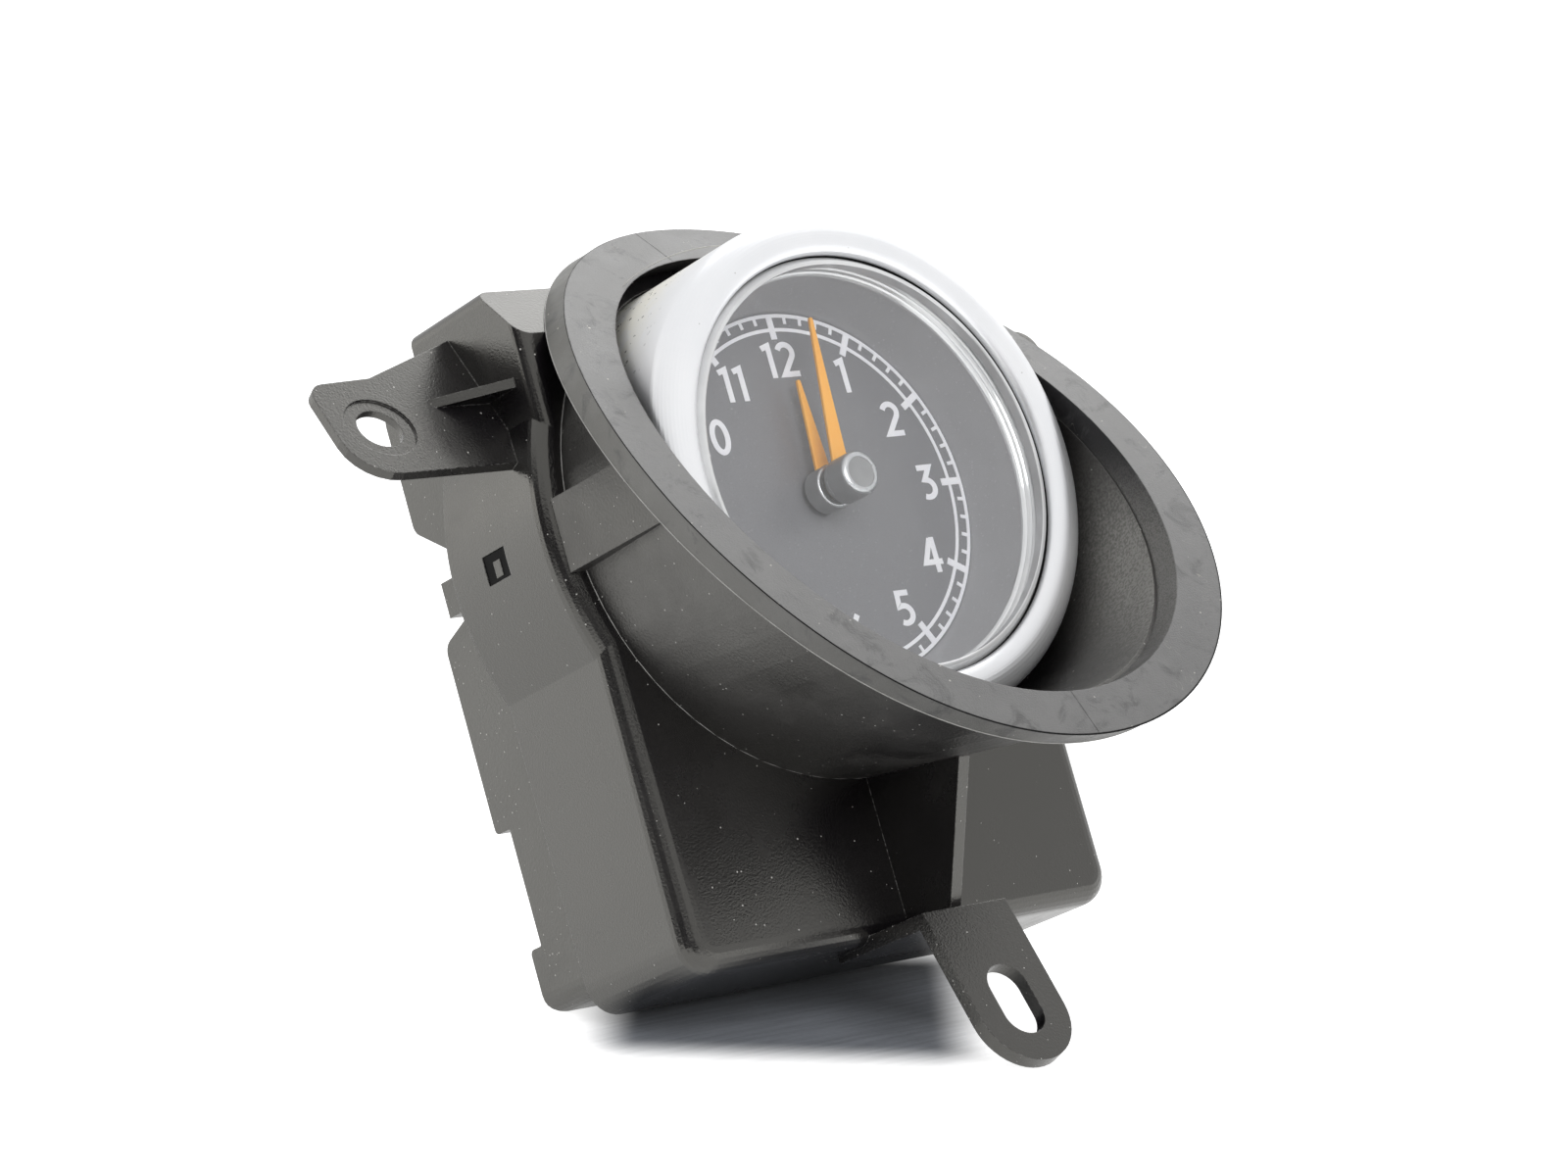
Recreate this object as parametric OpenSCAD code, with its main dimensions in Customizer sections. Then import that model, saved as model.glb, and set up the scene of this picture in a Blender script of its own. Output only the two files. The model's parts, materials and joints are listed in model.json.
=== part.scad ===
// Dashboard clock: a round analogue clock in a moulded box with a slanted funnel rim.
// Everything is laid out facing the viewer: x to the right, y up the dial, z out of the dial.
// Depth is counted from the widest line of the bezel, which lies at z = 0 on the dial axis.
// One last move stands the clock on its foot tab and on the foot of its rear cover.

/* [Bezel and lens] */
// Outer radius of the bezel
bezel_r = 35; // [32:0.5:38]
// Width of the rounded bezel lip, seen from the front
lip_w = 5.7; // [4.5:0.1:7]
// How far the crown of the lip stands before the widest line
lip_crown = 3.2; // [2.6:0.1:4.5]
// Where the crown lies, counted inward from the outer edge
crown_in = 3.3; // [2.5:0.1:4]
// Wall of the bezel barrel
bezel_wall = 1.5; // [1:0.1:2]
// Length of the barrel behind the widest line
barrel_len = 24; // [23.5:0.1:25]
// Thickness of the bezel lip where it holds the lens
lip_t = 0.9; // [0.6:0.1:1.4]
// Height of the lens seat under the lip, before the widest line
lip_seat = 1.1; // [0.6:0.1:1.5]
// Thickness of the lens gasket
gasket_t = 0.3; // [0.2:0.05:0.6]
// Thickness of the lens
lens_t = 1.2; // [0.8:0.1:1.5]
// Thickness of the clear light ring at its thinnest step
ring_wall = 1.6; // [1:0.1:2]
// Number of steps in the light ring
ring_steps = 4; // [2:1:6]
// How far each step of the light ring stands in
ring_step = 0.35; // [0.2:0.05:0.5]

/* [Dial] */
// Depth of the dial face behind the widest line
dial_depth = 11.3; // [10.8:0.1:12]
// Thickness of the dial plate
dial_t = 1; // [0.6:0.1:1.4]
// Thickness of the light guide behind the dial
guide_t = 2.7; // [2:0.1:3]
// Outer radius of the minute track
track_r = 25.7; // [22:0.1:28]
// Distance between the two circles of the track
track_gap = 2; // [1.6:0.1:2.4]
// Width of the track circles
track_line = 0.5; // [0.3:0.05:0.8]
// Height of the print above the dial
print_t = 0.1; // [0.05:0.01:0.2]
// Length of an hour mark
hour_mark_len = 3.6; // [2.8:0.1:4]
// Width of an hour mark
hour_mark_w = 1; // [0.6:0.1:1.5]
// Length of a minute mark
minute_mark_len = 1.4; // [1:0.1:1.5]
// Width of a minute mark
minute_mark_w = 0.5; // [0.3:0.05:0.8]

/* [Hands] */
// Length of the minute hand from the axis
minute_len = 23.1; // [20:0.1:26]
// Length of the hour hand from the axis
hour_len = 15.5; // [12:0.1:18]
// Time shown at rest, in minutes past twelve
shown_minutes = 0.95; // [0:0.05:719]
// Width of a hand at its root
hand_root_w = 2.9; // [2:0.1:4]
// Width of a hand at its tip
hand_tip_w = 0.6; // [0.4:0.1:1]
// Thickness of a hand
hand_t = 0.6; // [0.4:0.1:1]
// Radius of the hub cap
cap_r = 3.1; // [2.5:0.05:3.5]
// Length of the hub cap
cap_len = 3.6; // [3:0.1:4]
// Radius of the boss of the hour hand
boss_r = 3.1; // [2.6:0.1:3.4]
// Length of the boss of the hour hand
boss_len = 2.9; // [2:0.1:3.2]

/* [Housing] */
// Depth of the box front behind the widest line of the bezel
box_front = 16.2; // [15.5:0.1:17]
// Width of the box
box_w = 75; // [72:0.5:82]
// Top of the box above the dial axis
box_top = 35.6; // [34:0.2:38]
// Bottom of the box below the dial axis
box_bottom = 59.5; // [56:0.5:66]
// Depth of the box
box_d = 23.1; // [22:0.1:28]
// Wall of the box
wall = 2; // [1.5:0.1:2.4]
// Radius of the lower corners of the box
corner_r = 4.5; // [3.5:0.1:6]
// Radius of the upper corners of the box
top_corner_r = 1.8; // [1:0.1:3]
// Radius of the front edge of the box
edge_r = 3; // [1:0.1:3.4]
// Radius of the round bulge about the dial axis
bulge_r = 41; // [40.5:0.1:43]
// Height of the catch window in the bulge
window_h = 4; // [3:0.1:5]
// Depth of the catch window
window_d = 5; // [4:0.1:6]
// Distance of the window from the front of the box
window_at = 10.8; // [9:0.1:12]

/* [Funnel and rim] */
// Gap between the bezel and the funnel
funnel_gap = 1.3; // [1:0.1:2]
// Wall of the funnel at the box
funnel_wall = 1.4; // [1.2:0.1:2.4]
// Slant of the rim against the dial on its axis, in degrees
rim_tilt = 31.3; // [29:0.1:33]
// Radius of the rim's slow curve from top to bottom
rim_curve_r = 276; // [240:1:400]
// Height of the rim above the widest line of the bezel, on the axis
rim_front = 7.3; // [6.5:0.1:8.5]
// Shift of the rim centre below the axis
rim_drop = 0.8; // [0:0.1:2]
// Gap between the bezel and the seal at the sides
rim_gap_w = 1.4; // [1:0.1:3]
// Gap between the bezel and the seal above and below, seen along the axis
rim_gap_h = 3.3; // [2:0.1:5]
// Width of the rim face
rim_face = 6.4; // [5.2:0.1:6.8]
// Thickness of the rim seal
rim_t = 3.6; // [2.6:0.1:4]
// How far the seal overhangs the funnel
rim_overhang = 1.2; // [0.8:0.1:2.4]
// Sideways place of the seams between the seal halves
seam_x = -4; // [-8:0.5:0]
// Slant of the seams, in degrees
seam_turn = 2.7; // [0:0.1:4]
// Height of the flat pads on the sides of the funnel
pad_h = 10; // [8:0.5:12]

/* [Lugs] */
// Slant of the lugs against the dial, in degrees
lug_tilt = 25.8; // [22:0.2:28]
// Depth of the lug plane on the dial axis
lug_depth = 15.85; // [14:0.05:18]
// Reach of a lug from the middle
lug_reach = 63.8; // [60:0.1:68]
// Lower edge of a lug above the axis, along its slope
lug_low = 12.7; // [12:0.1:14]
// Upper edge of a lug above the axis, along its slope
lug_high = 29.2; // [28:0.1:30]
// Thickness of a lug
lug_t = 1.4; // [1.2:0.1:2.4]
// Radius of the lug holes
lug_hole_r = 3.25; // [2.6:0.05:3.6]
// Sideways place of the lug holes
lug_hole_x = 56.6; // [55:0.1:58]
// Thickness of the web that stiffens a lug
lug_web_t = 1.3; // [1:0.1:2]
// Length of that web along the lug
lug_web_len = 9.3; // [7:0.1:11]

/* [Foot tab] */
// Slant of the tab against the dial, in degrees
tab_tilt = 18.5; // [16:0.5:22]
// Width of the tab
tab_w = 14.6; // [13:0.1:16]
// Length of the tab along its slope
tab_len = 23.8; // [22:0.1:26]
// Thickness of the tab
tab_t = 2; // [1.6:0.1:3]
// Distance of the tab's upper edge from the box front
tab_out = 10.6; // [9:0.1:12]
// Width of the screw slot
slot_w = 6.5; // [5:0.1:7]
// Length of the screw slot
slot_len = 10.5; // [9:0.1:12]
// Thickness of the upright rib over the tab
rib_t = 1.8; // [1.4:0.1:2.4]
// Reach of the rib from the box front at the funnel
rib_out = 19.6; // [17:0.1:21]

/* [Rear cover] */
// How far the cover sits inside the outline of the box
cover_inset = 1.5; // [1:0.1:2]
// Wall of the cover
cover_wall = 1.8; // [1.4:0.1:2.2]
// Depth of the cover's flat top behind the box
top_d = 2.2; // [2:0.1:3]
// Depth of the notch floor behind the box
notch_d = 5.5; // [5:0.1:7]
// Depth of the two blocks behind the box
block_d = 12.1; // [11:0.1:13]
// Depth of the recess above the foot
recess_d = 8.9; // [8:0.1:10]
// Depth of the foot
foot_d = 11.5; // [11:0.1:12]
// Height of the foot
foot_h = 9.1; // [8:0.1:11]
// Height of the flat top above the upper block
top_h = 5.3; // [4.5:0.1:7]
// Height of the upper block
upper_h = 17.2; // [16.5:0.1:19]
// Height of the notch between the blocks
notch_h = 16.2; // [14:0.1:18]
// Height of the recess above the foot
recess_h = 16.2; // [12:0.1:18]
// Rounding of the cover's edges
cover_edge = 2; // [1:0.1:2.4]
// Reach of the latch fingers behind the notch floor
latch_d = 3.9; // [2:0.1:5]
// Thickness of the snap hooks
hook_t = 1.6; // [1.2:0.1:1.8]

/* [Movement] */
// Share of the opening behind the carrier that the wheels fill
train_fill = 0.96; // [0.9:0.01:0.97]
// Thickness of a wheel
wheel_t = 1; // [0.8:0.1:1.2]
// Radius of the centre arbor
arbor_r = 0.7; // [0.6:0.05:0.8]
// Radius of the small pivots
pivot_r = 0.5; // [0.4:0.05:0.6]
// Room for the wheels between the plates
train_room = 8.8; // [8.6:0.1:10]
// Thickness of the dial carrier
carrier_t = 2; // [1.6:0.1:2.4]
// Thickness of the rear plate
rear_plate_t = 1.5; // [1.2:0.1:2]
// Radius of the screw shanks
screw_r = 1; // [0.8:0.05:1.2]
// Thickness of the circuit board
board_t = 1.6; // [1.2:0.1:2]
// Room between the rear plate and the board
board_room = 2; // [1.6:0.1:3]

// Width of the control chip
chip_w = 12; // [8:0.5:14]
// Length of the crystal's can
crystal_len = 11.4; // [8:0.1:13]
// Radius of the capacitors
capacitor_r = 3; // [2:0.1:4]
// Height of the capacitors
capacitor_h = 6; // [4:0.1:7]

/* [Connector] */
// Width of the socket
socket_w = 24; // [20:0.5:28]
// Height of the socket
socket_h = 12; // [10.5:0.5:12.5]
// Wall of the socket
socket_wall = 1.2; // [0.8:0.1:1.4]
// Depth of the socket's cavity
socket_deep = 12; // [11:0.5:13]
// Number of pins
pin_count = 6; // [4:1:8]

/* [Hidden] */
$fn = 96;
hull_fn = 32;
// Clearances: running pivots, pressed seats, free slip
run = 0.05;
seat = 0.02;
slip = 0.3;
// Fine overlap of joined shapes, long overlap of cuts
eps = 0.01;
over = 1;

// Radii
barrel_in = bezel_r - bezel_wall;
inside_r = barrel_in - slip;
lip_r = bezel_r - lip_w;
seat_r = inside_r - slip;
open_r = bezel_r + slip;
funnel_in = bezel_r + funnel_gap;
funnel_r = funnel_in + funnel_wall;
bulge_edge = max(0.5, bulge_r - funnel_r - slip);
rim_half_w = bezel_r + rim_gap_w + rim_face;
rim_half_h = bezel_r + rim_gap_h + rim_face;
hollow_r = bulge_r - wall;
collar_r = open_r + 2;
shoulder_r = inside_r - 4.7;
pipe_r = arbor_r + 0.9;

// Depth planes of the case, front to back
face_z = -box_front;
wall_z = face_z - wall;
box_z = face_z - box_d;
shoulder_z = -barrel_len;
shoulder_back = shoulder_z - wall;
lens_z = lip_seat - gasket_t;
lens_back = lens_z - lens_t;
dial_z = -dial_depth;
guide_z = dial_z - dial_t;
guide_back = guide_z - guide_t;

// Depths of the wheels before the carrier, then of the carrier and what lies behind it
gap_z = 0.3;
hour_wheel_z = guide_back - 1;
cannon_z = hour_wheel_z - wheel_t - gap_z;
minute_wheel_z = cannon_z - gap_z;
minute_pinion_z = hour_wheel_z + gap_z;
carrier_z = minute_wheel_z - wheel_t - 2 * gap_z;
carrier_back = carrier_z - carrier_t;
centre_wheel_z = carrier_back - 1;
between_wheel_z = centre_wheel_z - 2 * wheel_t - gap_z;
magnet_z = between_wheel_z - 2 * wheel_t - gap_z;
rear_plate_z = carrier_back - train_room;
rear_plate_back = rear_plate_z - rear_plate_t;
board_z = rear_plate_back - board_room;
board_back = board_z - board_t;

// Hands
hour_hand_z = dial_z + 2.4;
boss_back = dial_z + 1;
boss_front = boss_back + boss_len;
minute_hand_z = boss_front + 1.3 + hand_t;
cap_front = minute_hand_z + cap_len;
arbor_front = cap_front - 1.2;
minute_angle = 6 * shown_minutes;
hour_angle = minute_angle / 12;

// Box and rear cover
box_hw = box_w / 2;
cover_hw = box_hw - cover_inset;
cover_top = box_top - cover_inset;
cover_low = -box_bottom + 2 * cover_inset;
upper_top = cover_top - top_h;
upper_low = upper_top - upper_h;
middle_top = upper_low - notch_h;
foot_top = cover_low + foot_h;
middle_low = foot_top + recess_h;
top_z = box_z - top_d;
notch_z = box_z - notch_d;
block_z = box_z - block_d;
recess_z = box_z - recess_d;
foot_z = box_z - foot_d;

// Tab: its upper edge, its tip on the front, and the heel that stands on the floor
tab_top = -box_bottom + tab_t / 2;
tab_z = face_z + tab_out;
heel_y = tab_top - tab_len * cos(tab_tilt) - tab_t * sin(tab_tilt);
heel_z = tab_z + tab_len * sin(tab_tilt) - tab_t * cos(tab_tilt);

// Lean: the rounded lower corner of the foot and the heel of the tab reach the floor together
foot_y = cover_low + cover_edge;
lean_a = foot_z + cover_edge - heel_z;
lean_b = foot_y - heel_y;
lean = atan2(lean_a, lean_b) + acos(cover_edge / norm([lean_a, lean_b]));
// Axis of the drum whose surface is the rim face
drum_y = -rim_curve_r * sin(rim_tilt);
drum_z = rim_front - rim_curve_r * cos(rim_tilt);
// Front and rear reach of the standing clock, which centre it on the floor
rim_low = -rim_drop - rim_half_h;
rim_low_z = drum_z + sqrt(rim_curve_r * rim_curve_r - (rim_low - drum_y) * (rim_low - drum_y));
reach_front = -rim_low_z * cos(lean) + rim_low * sin(lean);
reach_back = -(block_z + cover_edge) * cos(lean) + (upper_top - cover_edge) * sin(lean) + cover_edge;
stand_y = -(reach_front + reach_back) / 2;
stand_z = -(heel_z * sin(lean) + heel_y * cos(lean));

// Lugs
lug_mid = (lug_low + lug_high) / 2;
lug_web_y = lug_mid * cos(lug_tilt) + 3;
lug_web_z = -lug_depth - lug_web_y * tan(lug_tilt);

// Gear train: teeth and places
cannon_teeth = 12;
minute_teeth = 36;
minute_pinion_teeth = 10;
hour_teeth = 40;
centre_teeth = 60;
between_pinion_teeth = 10;
between_teeth = 50;
rotor_teeth = 10;
// Tooth module, from the reach of the intermediate wheel
train_module = train_fill * shoulder_r / ((centre_teeth + between_pinion_teeth + between_teeth) / 2 + 0.75);
minute_gap = train_module * (cannon_teeth + minute_teeth) / 2;
hour_module = 2 * minute_gap / (minute_pinion_teeth + hour_teeth);
between_gap = train_module * (centre_teeth + between_pinion_teeth) / 2;
rotor_gap = train_module * (between_teeth + rotor_teeth) / 2;
minute_at = [minute_gap, 0];
between_at = [0, -between_gap];
rotor_at = [rotor_gap, -between_gap];
magnet_r = 2.8;
magnet_t = 2.2;

// Posts and screws
post_r = 2.2;
head_r = 1.9 * screw_r;
head_t = 1.2;
movement_ring = shoulder_r - post_r - 1.2;
movement_posts = [for (a = [45, 135, 225]) movement_ring * [cos(a), sin(a)]];
board_ring = collar_r - post_r - 0.4;
board_posts = [for (a = [30, 150]) board_ring * [cos(a), sin(a)]];
carrier_ring = shoulder_r + 2.6;
carrier_points = [for (a = [0 : 90 : 270]) carrier_ring * [cos(a), sin(a)]];
rear_plate_r = shoulder_r - 0.5;

// Lamps
lamp_ring = seat_r - 4.5;
lamp_w = 2.8;
lamp_h = 1.5;
lamp_z = carrier_z + 0.8;

// Stator and coil beside the rotor
stator_t = 1;
stator_z = magnet_z - (magnet_t - stator_t) / 2;
coil_x = rotor_at.x + magnet_r + 2.7;
coil_low = rotor_at.y + magnet_r + 4.2;
coil_top = -coil_low + magnet_r - 0.6;
coil_r = 1.7;
bobbin_r = 1.1;
core_w = 1;
leg_w = 3;

// Board
board_hw = box_hw - wall - 2.5;
board_top = 30;
board_low = -box_bottom + wall + 2.5;
chip_at = [-board_hw / 3, -board_top / 2];
crystal_at = [board_hw / 4, -board_top / 2];
capacitor_y = crystal_at.y - 3 * capacitor_r;
low_posts = [for (side = [-1, 1]) [side * (board_hw - 5), board_low + 5]];

// Connector
socket_y = (upper_top + upper_low) / 2;
socket_back = block_z + 0.5;
socket_floor = socket_back + socket_deep;
pin_w = 0.7;
pin_len = 5.5;
pin_step = (socket_w - 2 * socket_wall - 4) / (pin_count - 1);

// Points of an arc about a centre
function arc(centre, r, from, to, steps) = [
    for (i = [0 : steps]) let (a = from + (to - from) * i / steps) centre + r * [cos(a), sin(a)]
];

function unit(v) = v / norm(v);

// Arc that rounds the corner q between its neighbours p and s
function corner(p, q, s, r, steps) =
    let (a = unit(p - q), b = unit(s - q), half = acos(a * b) / 2)
    let (centre = q + unit(a + b) * r / sin(half))
    let (first = q + a * r / tan(half) - centre, last = q + b * r / tan(half) - centre)
    let (from = atan2(first.y, first.x), to = atan2(last.y, last.x))
    arc(centre, r, from, from + (to - from + 540) % 360 - 180, steps);

// Outline whose points are [x, y, radius of the corner]
function rounded(pts, steps = 6) = [
    for (i = [0 : len(pts) - 1])
        let (n = len(pts), q = pts[i], p = pts[(i + n - 1) % n], s = pts[(i + 1) % n])
        each q.z > 0
            ? corner([p.x, p.y], [q.x, q.y], [s.x, s.y], q.z, steps)
            : [[q.x, q.y]]
];

function oval(half_w, half_h, steps = 96) = [
    for (i = [0 : steps - 1]) let (a = 360 * i / steps) [half_w * cos(a), half_h * sin(a)]
];

// Gear outline with slim straight teeth, one tooth pointing along the given angle
function gear(teeth, size, angle) =
    let (r = teeth * size / 2, tip = r + 0.75 * size, root = r - 1.1 * size, step = 360 / teeth)
    let (shares = [[root, -0.23], [r, -0.19], [tip, -0.09], [tip, 0.09], [r, 0.19], [root, 0.23]])
    [for (i = [0 : teeth - 1], s = shares) let (a = angle + step * (i + s[1])) s[0] * [cos(a), sin(a)]];

// Angle of a gear that shows a gap in the given direction
function gap_angle(teeth, direction) = direction + 180 / teeth;

// Stands the clock on the floor
module stand() {
    translate([0, stand_y, stand_z]) rotate([90 - lean, 0, 0]) children();
}

// Drum with the rim's slow curve: everything behind a height over the rim face
module behind_rim(height) {
    translate([0, drum_y, drum_z]) rotate([0, 90, 0])
        cylinder(r = rim_curve_r + height, h = 4 * rim_half_w, center = true, $fn = 360);
}

// Frame of a lug plate on the given side: its front is the local plane z = 0
module on_lug(side) {
    translate([0, 0, -lug_depth]) rotate([-lug_tilt, 0, 0]) mirror([side < 0 ? 1 : 0, 0, 0]) children();
}

// Frame of the tab: its upper front edge is the origin
module on_tab() {
    translate([0, tab_top, tab_z]) rotate([-tab_tilt, 0, 0]) children();
}

// Cylinder from one depth to another
module rod(r, front, back, at = [0, 0]) {
    translate([at.x, at.y, back]) cylinder(r = r, h = front - back);
}

module tube(r, hole, front, back, at = [0, 0]) {
    difference() {
        rod(r, front, back, at);
        rod(hole, front + over, back - over, at);
    }
}

// Flat shape between two depths
module plate(front, back) {
    translate([0, 0, back]) linear_extrude(front - back) children();
}

// Shape drawn with height and depth, given a width across
module across(width) {
    rotate([90, 0, 90]) linear_extrude(width, center = true) children();
}

// Block between two depths, centred on a point
module block(w, h, front, back, at) {
    plate(front, back) translate(at) square([w, h], center = true);
}

module round_rect(half_w, low, high, r) {
    polygon(rounded([[half_w, low, r], [half_w, high, r], [-half_w, high, r], [-half_w, low, r]]));
}

// Half section of a round post with a rounded front edge
module post_section(r, edge) {
    polygon(concat([[0, 0], [r, 0]], arc([r - edge, box_d - edge], edge, 0, 90, 6), [[0, box_d]]));
}

module box_body() {
    translate([0, 0, box_z]) hull()
        for (side = [-1, 1]) {
            translate([side * (box_hw - corner_r), corner_r - box_bottom, 0])
                rotate_extrude($fn = hull_fn) post_section(corner_r, edge_r);
            translate([side * (box_hw - top_corner_r), box_top - top_corner_r, 0])
                rotate_extrude($fn = hull_fn) post_section(top_corner_r, min(edge_r, top_corner_r - eps));
        }
}

module bulge_body() {
    translate([0, 0, box_z]) rotate_extrude() post_section(bulge_r, bulge_edge);
}

module housing_hollow() {
    intersection() {
        union() {
            difference() {
                plate(wall_z, box_z - over)
                    round_rect(box_hw - wall, wall - box_bottom, box_top - wall, corner_r - wall);
                // collar around the barrel, with a shoulder behind it
                rod(collar_r, wall_z + over, shoulder_back);
            }
            rod(hollow_r, shoulder_back, box_z - over);
        }
        behind_rim(-rim_t - wall);
    }
    rod(open_r, face_z + over, shoulder_z);
    rod(shoulder_r, face_z + over, box_z);
}

module lug(side) {
    root_x = box_hw - wall;
    on_lug(side) plate(0, -lug_t)
        polygon(rounded([
            [root_x, lug_low, 0],
            [lug_reach, lug_low, 6.5],
            [lug_reach, lug_high, 2.6],
            [lug_hole_x - 3, lug_high + 0.5, 2],
            [root_x, lug_high + 7, 0]]));
    web_x = box_hw + lug_web_len;
    translate([0, lug_web_y, 0]) rotate([90, 0, 0]) linear_extrude(lug_web_t, center = true)
        polygon([
            [side * (box_hw - over), face_z - edge_r],
            [side * (box_hw - over), lug_web_z - over],
            [side * web_x, lug_web_z - over],
            [side * web_x, lug_web_z]]);
}

module lug_hole(side) {
    at = [lug_hole_x, lug_mid];
    on_lug(side) {
        rod(lug_hole_r, over, -lug_t - over, at);
        rod(lug_hole_r + 1.8, over, -0.3, at);
    }
}

module tab_body() {
    end_r = tab_w / 2;
    on_tab() plate(0, -tab_t) {
        translate([0, end_r - tab_len]) circle(r = end_r);
        translate([-end_r, end_r - tab_len]) square([tab_w, tab_len - end_r]);
    }
    // web that joins the tab to the bottom of the box
    block(tab_w, tab_t, tab_z, face_z - 8, [0, tab_top - tab_t / 2]);
    // upright rib between the box, the funnel and the web
    across(rib_t)
        polygon([
            [tab_top - eps, face_z - eps],
            [tab_top - eps, tab_z - 1.8],
            [-funnel_r - over, face_z + rib_out],
            [-funnel_in, face_z + rib_out],
            [-funnel_in, face_z - eps]]);
}

module tab_slot() {
    low = tab_w / 2 - tab_len;
    high = low + slot_len - slot_w;
    on_tab() {
        for (y = [low, high]) rod(slot_w / 2, over, -tab_t - over, [0, y]);
        block(slot_w, high - low, over, -tab_t - over, [0, (low + high) / 2]);
    }
}

// Solid funnel from behind the box front to well before the rim
module funnel_body(base_r, rim_in) {
    top_z = rim_low_z + over;
    hull() {
        translate([0, 0, face_z - over]) cylinder(r = base_r, h = over, $fn = 2 * hull_fn);
        plate(top_z, top_z - eps) translate([0, -rim_drop])
            polygon(oval(rim_half_w - rim_in, rim_half_h - rim_in, 64));
    }
}

module catch_window(side) {
    at = [side * bulge_r, 0];
    block(4 * wall, window_h, face_z - window_at, face_z - window_at - window_d, at);
}

module front_housing() {
    color("#2b2b2e") stand() difference() {
        union() {
            difference() {
                union() {
                    intersection() {
                        union() {
                            box_body();
                            bulge_body();
                        }
                        // slanted seat under the top of the rim seal
                        behind_rim(-rim_t);
                    }
                    for (side = [-1, 1]) lug(side);
                    difference() {
                        tab_body();
                        // the rib stops at the funnel
                        funnel_body(funnel_r + seat, rim_overhang - seat);
                    }
                }
                housing_hollow();
            }
            for (p = board_posts) rod(post_r, shoulder_back + eps, board_z, p);
            for (p = low_posts) rod(post_r, wall_z + eps, board_z, p);
        }
        for (side = [-1, 1]) {
            lug_hole(side);
            catch_window(side);
        }
        tab_slot();
        for (p = carrier_points) rod(screw_r + run, shoulder_z + over, shoulder_back - over, p);
        for (p = concat(board_posts, low_posts)) rod(screw_r + run, shoulder_back - over, board_z - over, p);
    }
}

module funnel_shroud() {
    color("#2a2a2c") stand() difference() {
        intersection() {
            union() {
                funnel_body(funnel_r, rim_overhang);
                // flat pads on both sides
                for (side = [-1, 1]) block(4.4, pad_h, rim_front, face_z, [side * funnel_r, -0.4]);
            }
            rod(4 * rim_half_h, 4 * rim_half_h, face_z);
            behind_rim(-rim_t);
        }
        funnel_body(funnel_in, rim_face);
    }
}

// Half of the rim seal on one side of the slanted seam
module rim_half(side) {
    far = 4 * rim_half_h;
    color("#55544f") stand() difference() {
        intersection() {
            plate(far, -far) translate([0, -rim_drop]) difference() {
                polygon(oval(rim_half_w, rim_half_h));
                polygon(oval(rim_half_w - rim_face, rim_half_h - rim_face));
            }
            behind_rim(0);
            translate([seam_x, 0, 0]) rotate(seam_turn)
                block(far, 2 * far, far, -far, [side * (far / 2 + seat), 0]);
        }
        behind_rim(-rim_t);
    }
}

module rim_seal_left() {
    rim_half(-1);
}

module rim_seal_right() {
    rim_half(1);
}

// Half section of the bezel, radius against depth
function bezel_section() =
    let (crown_r = bezel_r - crown_in, inner = crown_r - lip_r, drop = lip_crown - lip_seat - lip_t)
    concat(
        [[barrel_in, shoulder_z], [bezel_r, shoulder_z]],
        [for (a = [0 : 9 : 90]) [crown_r + crown_in * cos(a), lip_crown * sin(a)]],
        [for (a = [9 : 9 : 90]) [crown_r - inner * sin(a), lip_crown - drop * (1 - cos(a))]],
        [[lip_r, lip_seat], [barrel_in, lip_seat]]);

module bezel() {
    color("#c9ccd0") stand() rotate_extrude() polygon(bezel_section());
}

module lens() {
    color("#dfe6ea") stand() rod(inside_r, lens_z, lens_back);
}

module lens_gasket() {
    color("#1b1b1b") stand() tube(inside_r, lip_r + 0.4, lip_seat, lens_z);
}

module light_ring() {
    depth = (lens_back - dial_z) / ring_steps;
    first_r = inside_r - ring_wall;
    color("#e8eef0") stand() difference() {
        rod(inside_r, lens_back, dial_z);
        for (i = [1 : ring_steps - 1])
            rod(first_r - (i - 1) * ring_step, lens_back + over, lens_back - i * depth);
        rod(first_r - (ring_steps - 1) * ring_step, lens_back + over, dial_z - over);
    }
}

module dial() {
    color("#4a4a4c") stand() tube(inside_r, pipe_r + slip, dial_z, guide_z);
}

module track_print() {
    color("#f2f2f2") stand() plate(dial_z + print_t, dial_z) {
        for (r = [track_r, track_r - track_gap]) difference() {
            circle(r = r);
            circle(r = r - track_line);
        }
        for (i = [0 : 59]) {
            hour = i % 5 == 0;
            mark_len = hour ? hour_mark_len : minute_mark_len;
            mark_w = hour ? hour_mark_w : minute_mark_w;
            rotate(-6 * i) translate([-mark_w / 2, track_r - mark_len])
                square([mark_w, mark_len - track_line / 2]);
        }
    }
}

module light_guide() {
    color("#e6e6e0") stand() tube(inside_r, pipe_r + slip, guide_z, guide_back);
}

module lamp_board() {
    color("#1f5a3a") stand() tube(lamp_ring + 2.2, lamp_ring - 2.2, lamp_z, carrier_z);
}

module lamps() {
    color("#f4efdc") stand()
        for (a = [0 : 60 : 300]) rotate(a) block(lamp_w, lamp_w, lamp_z + lamp_h, lamp_z, [lamp_ring, 0]);
}

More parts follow.
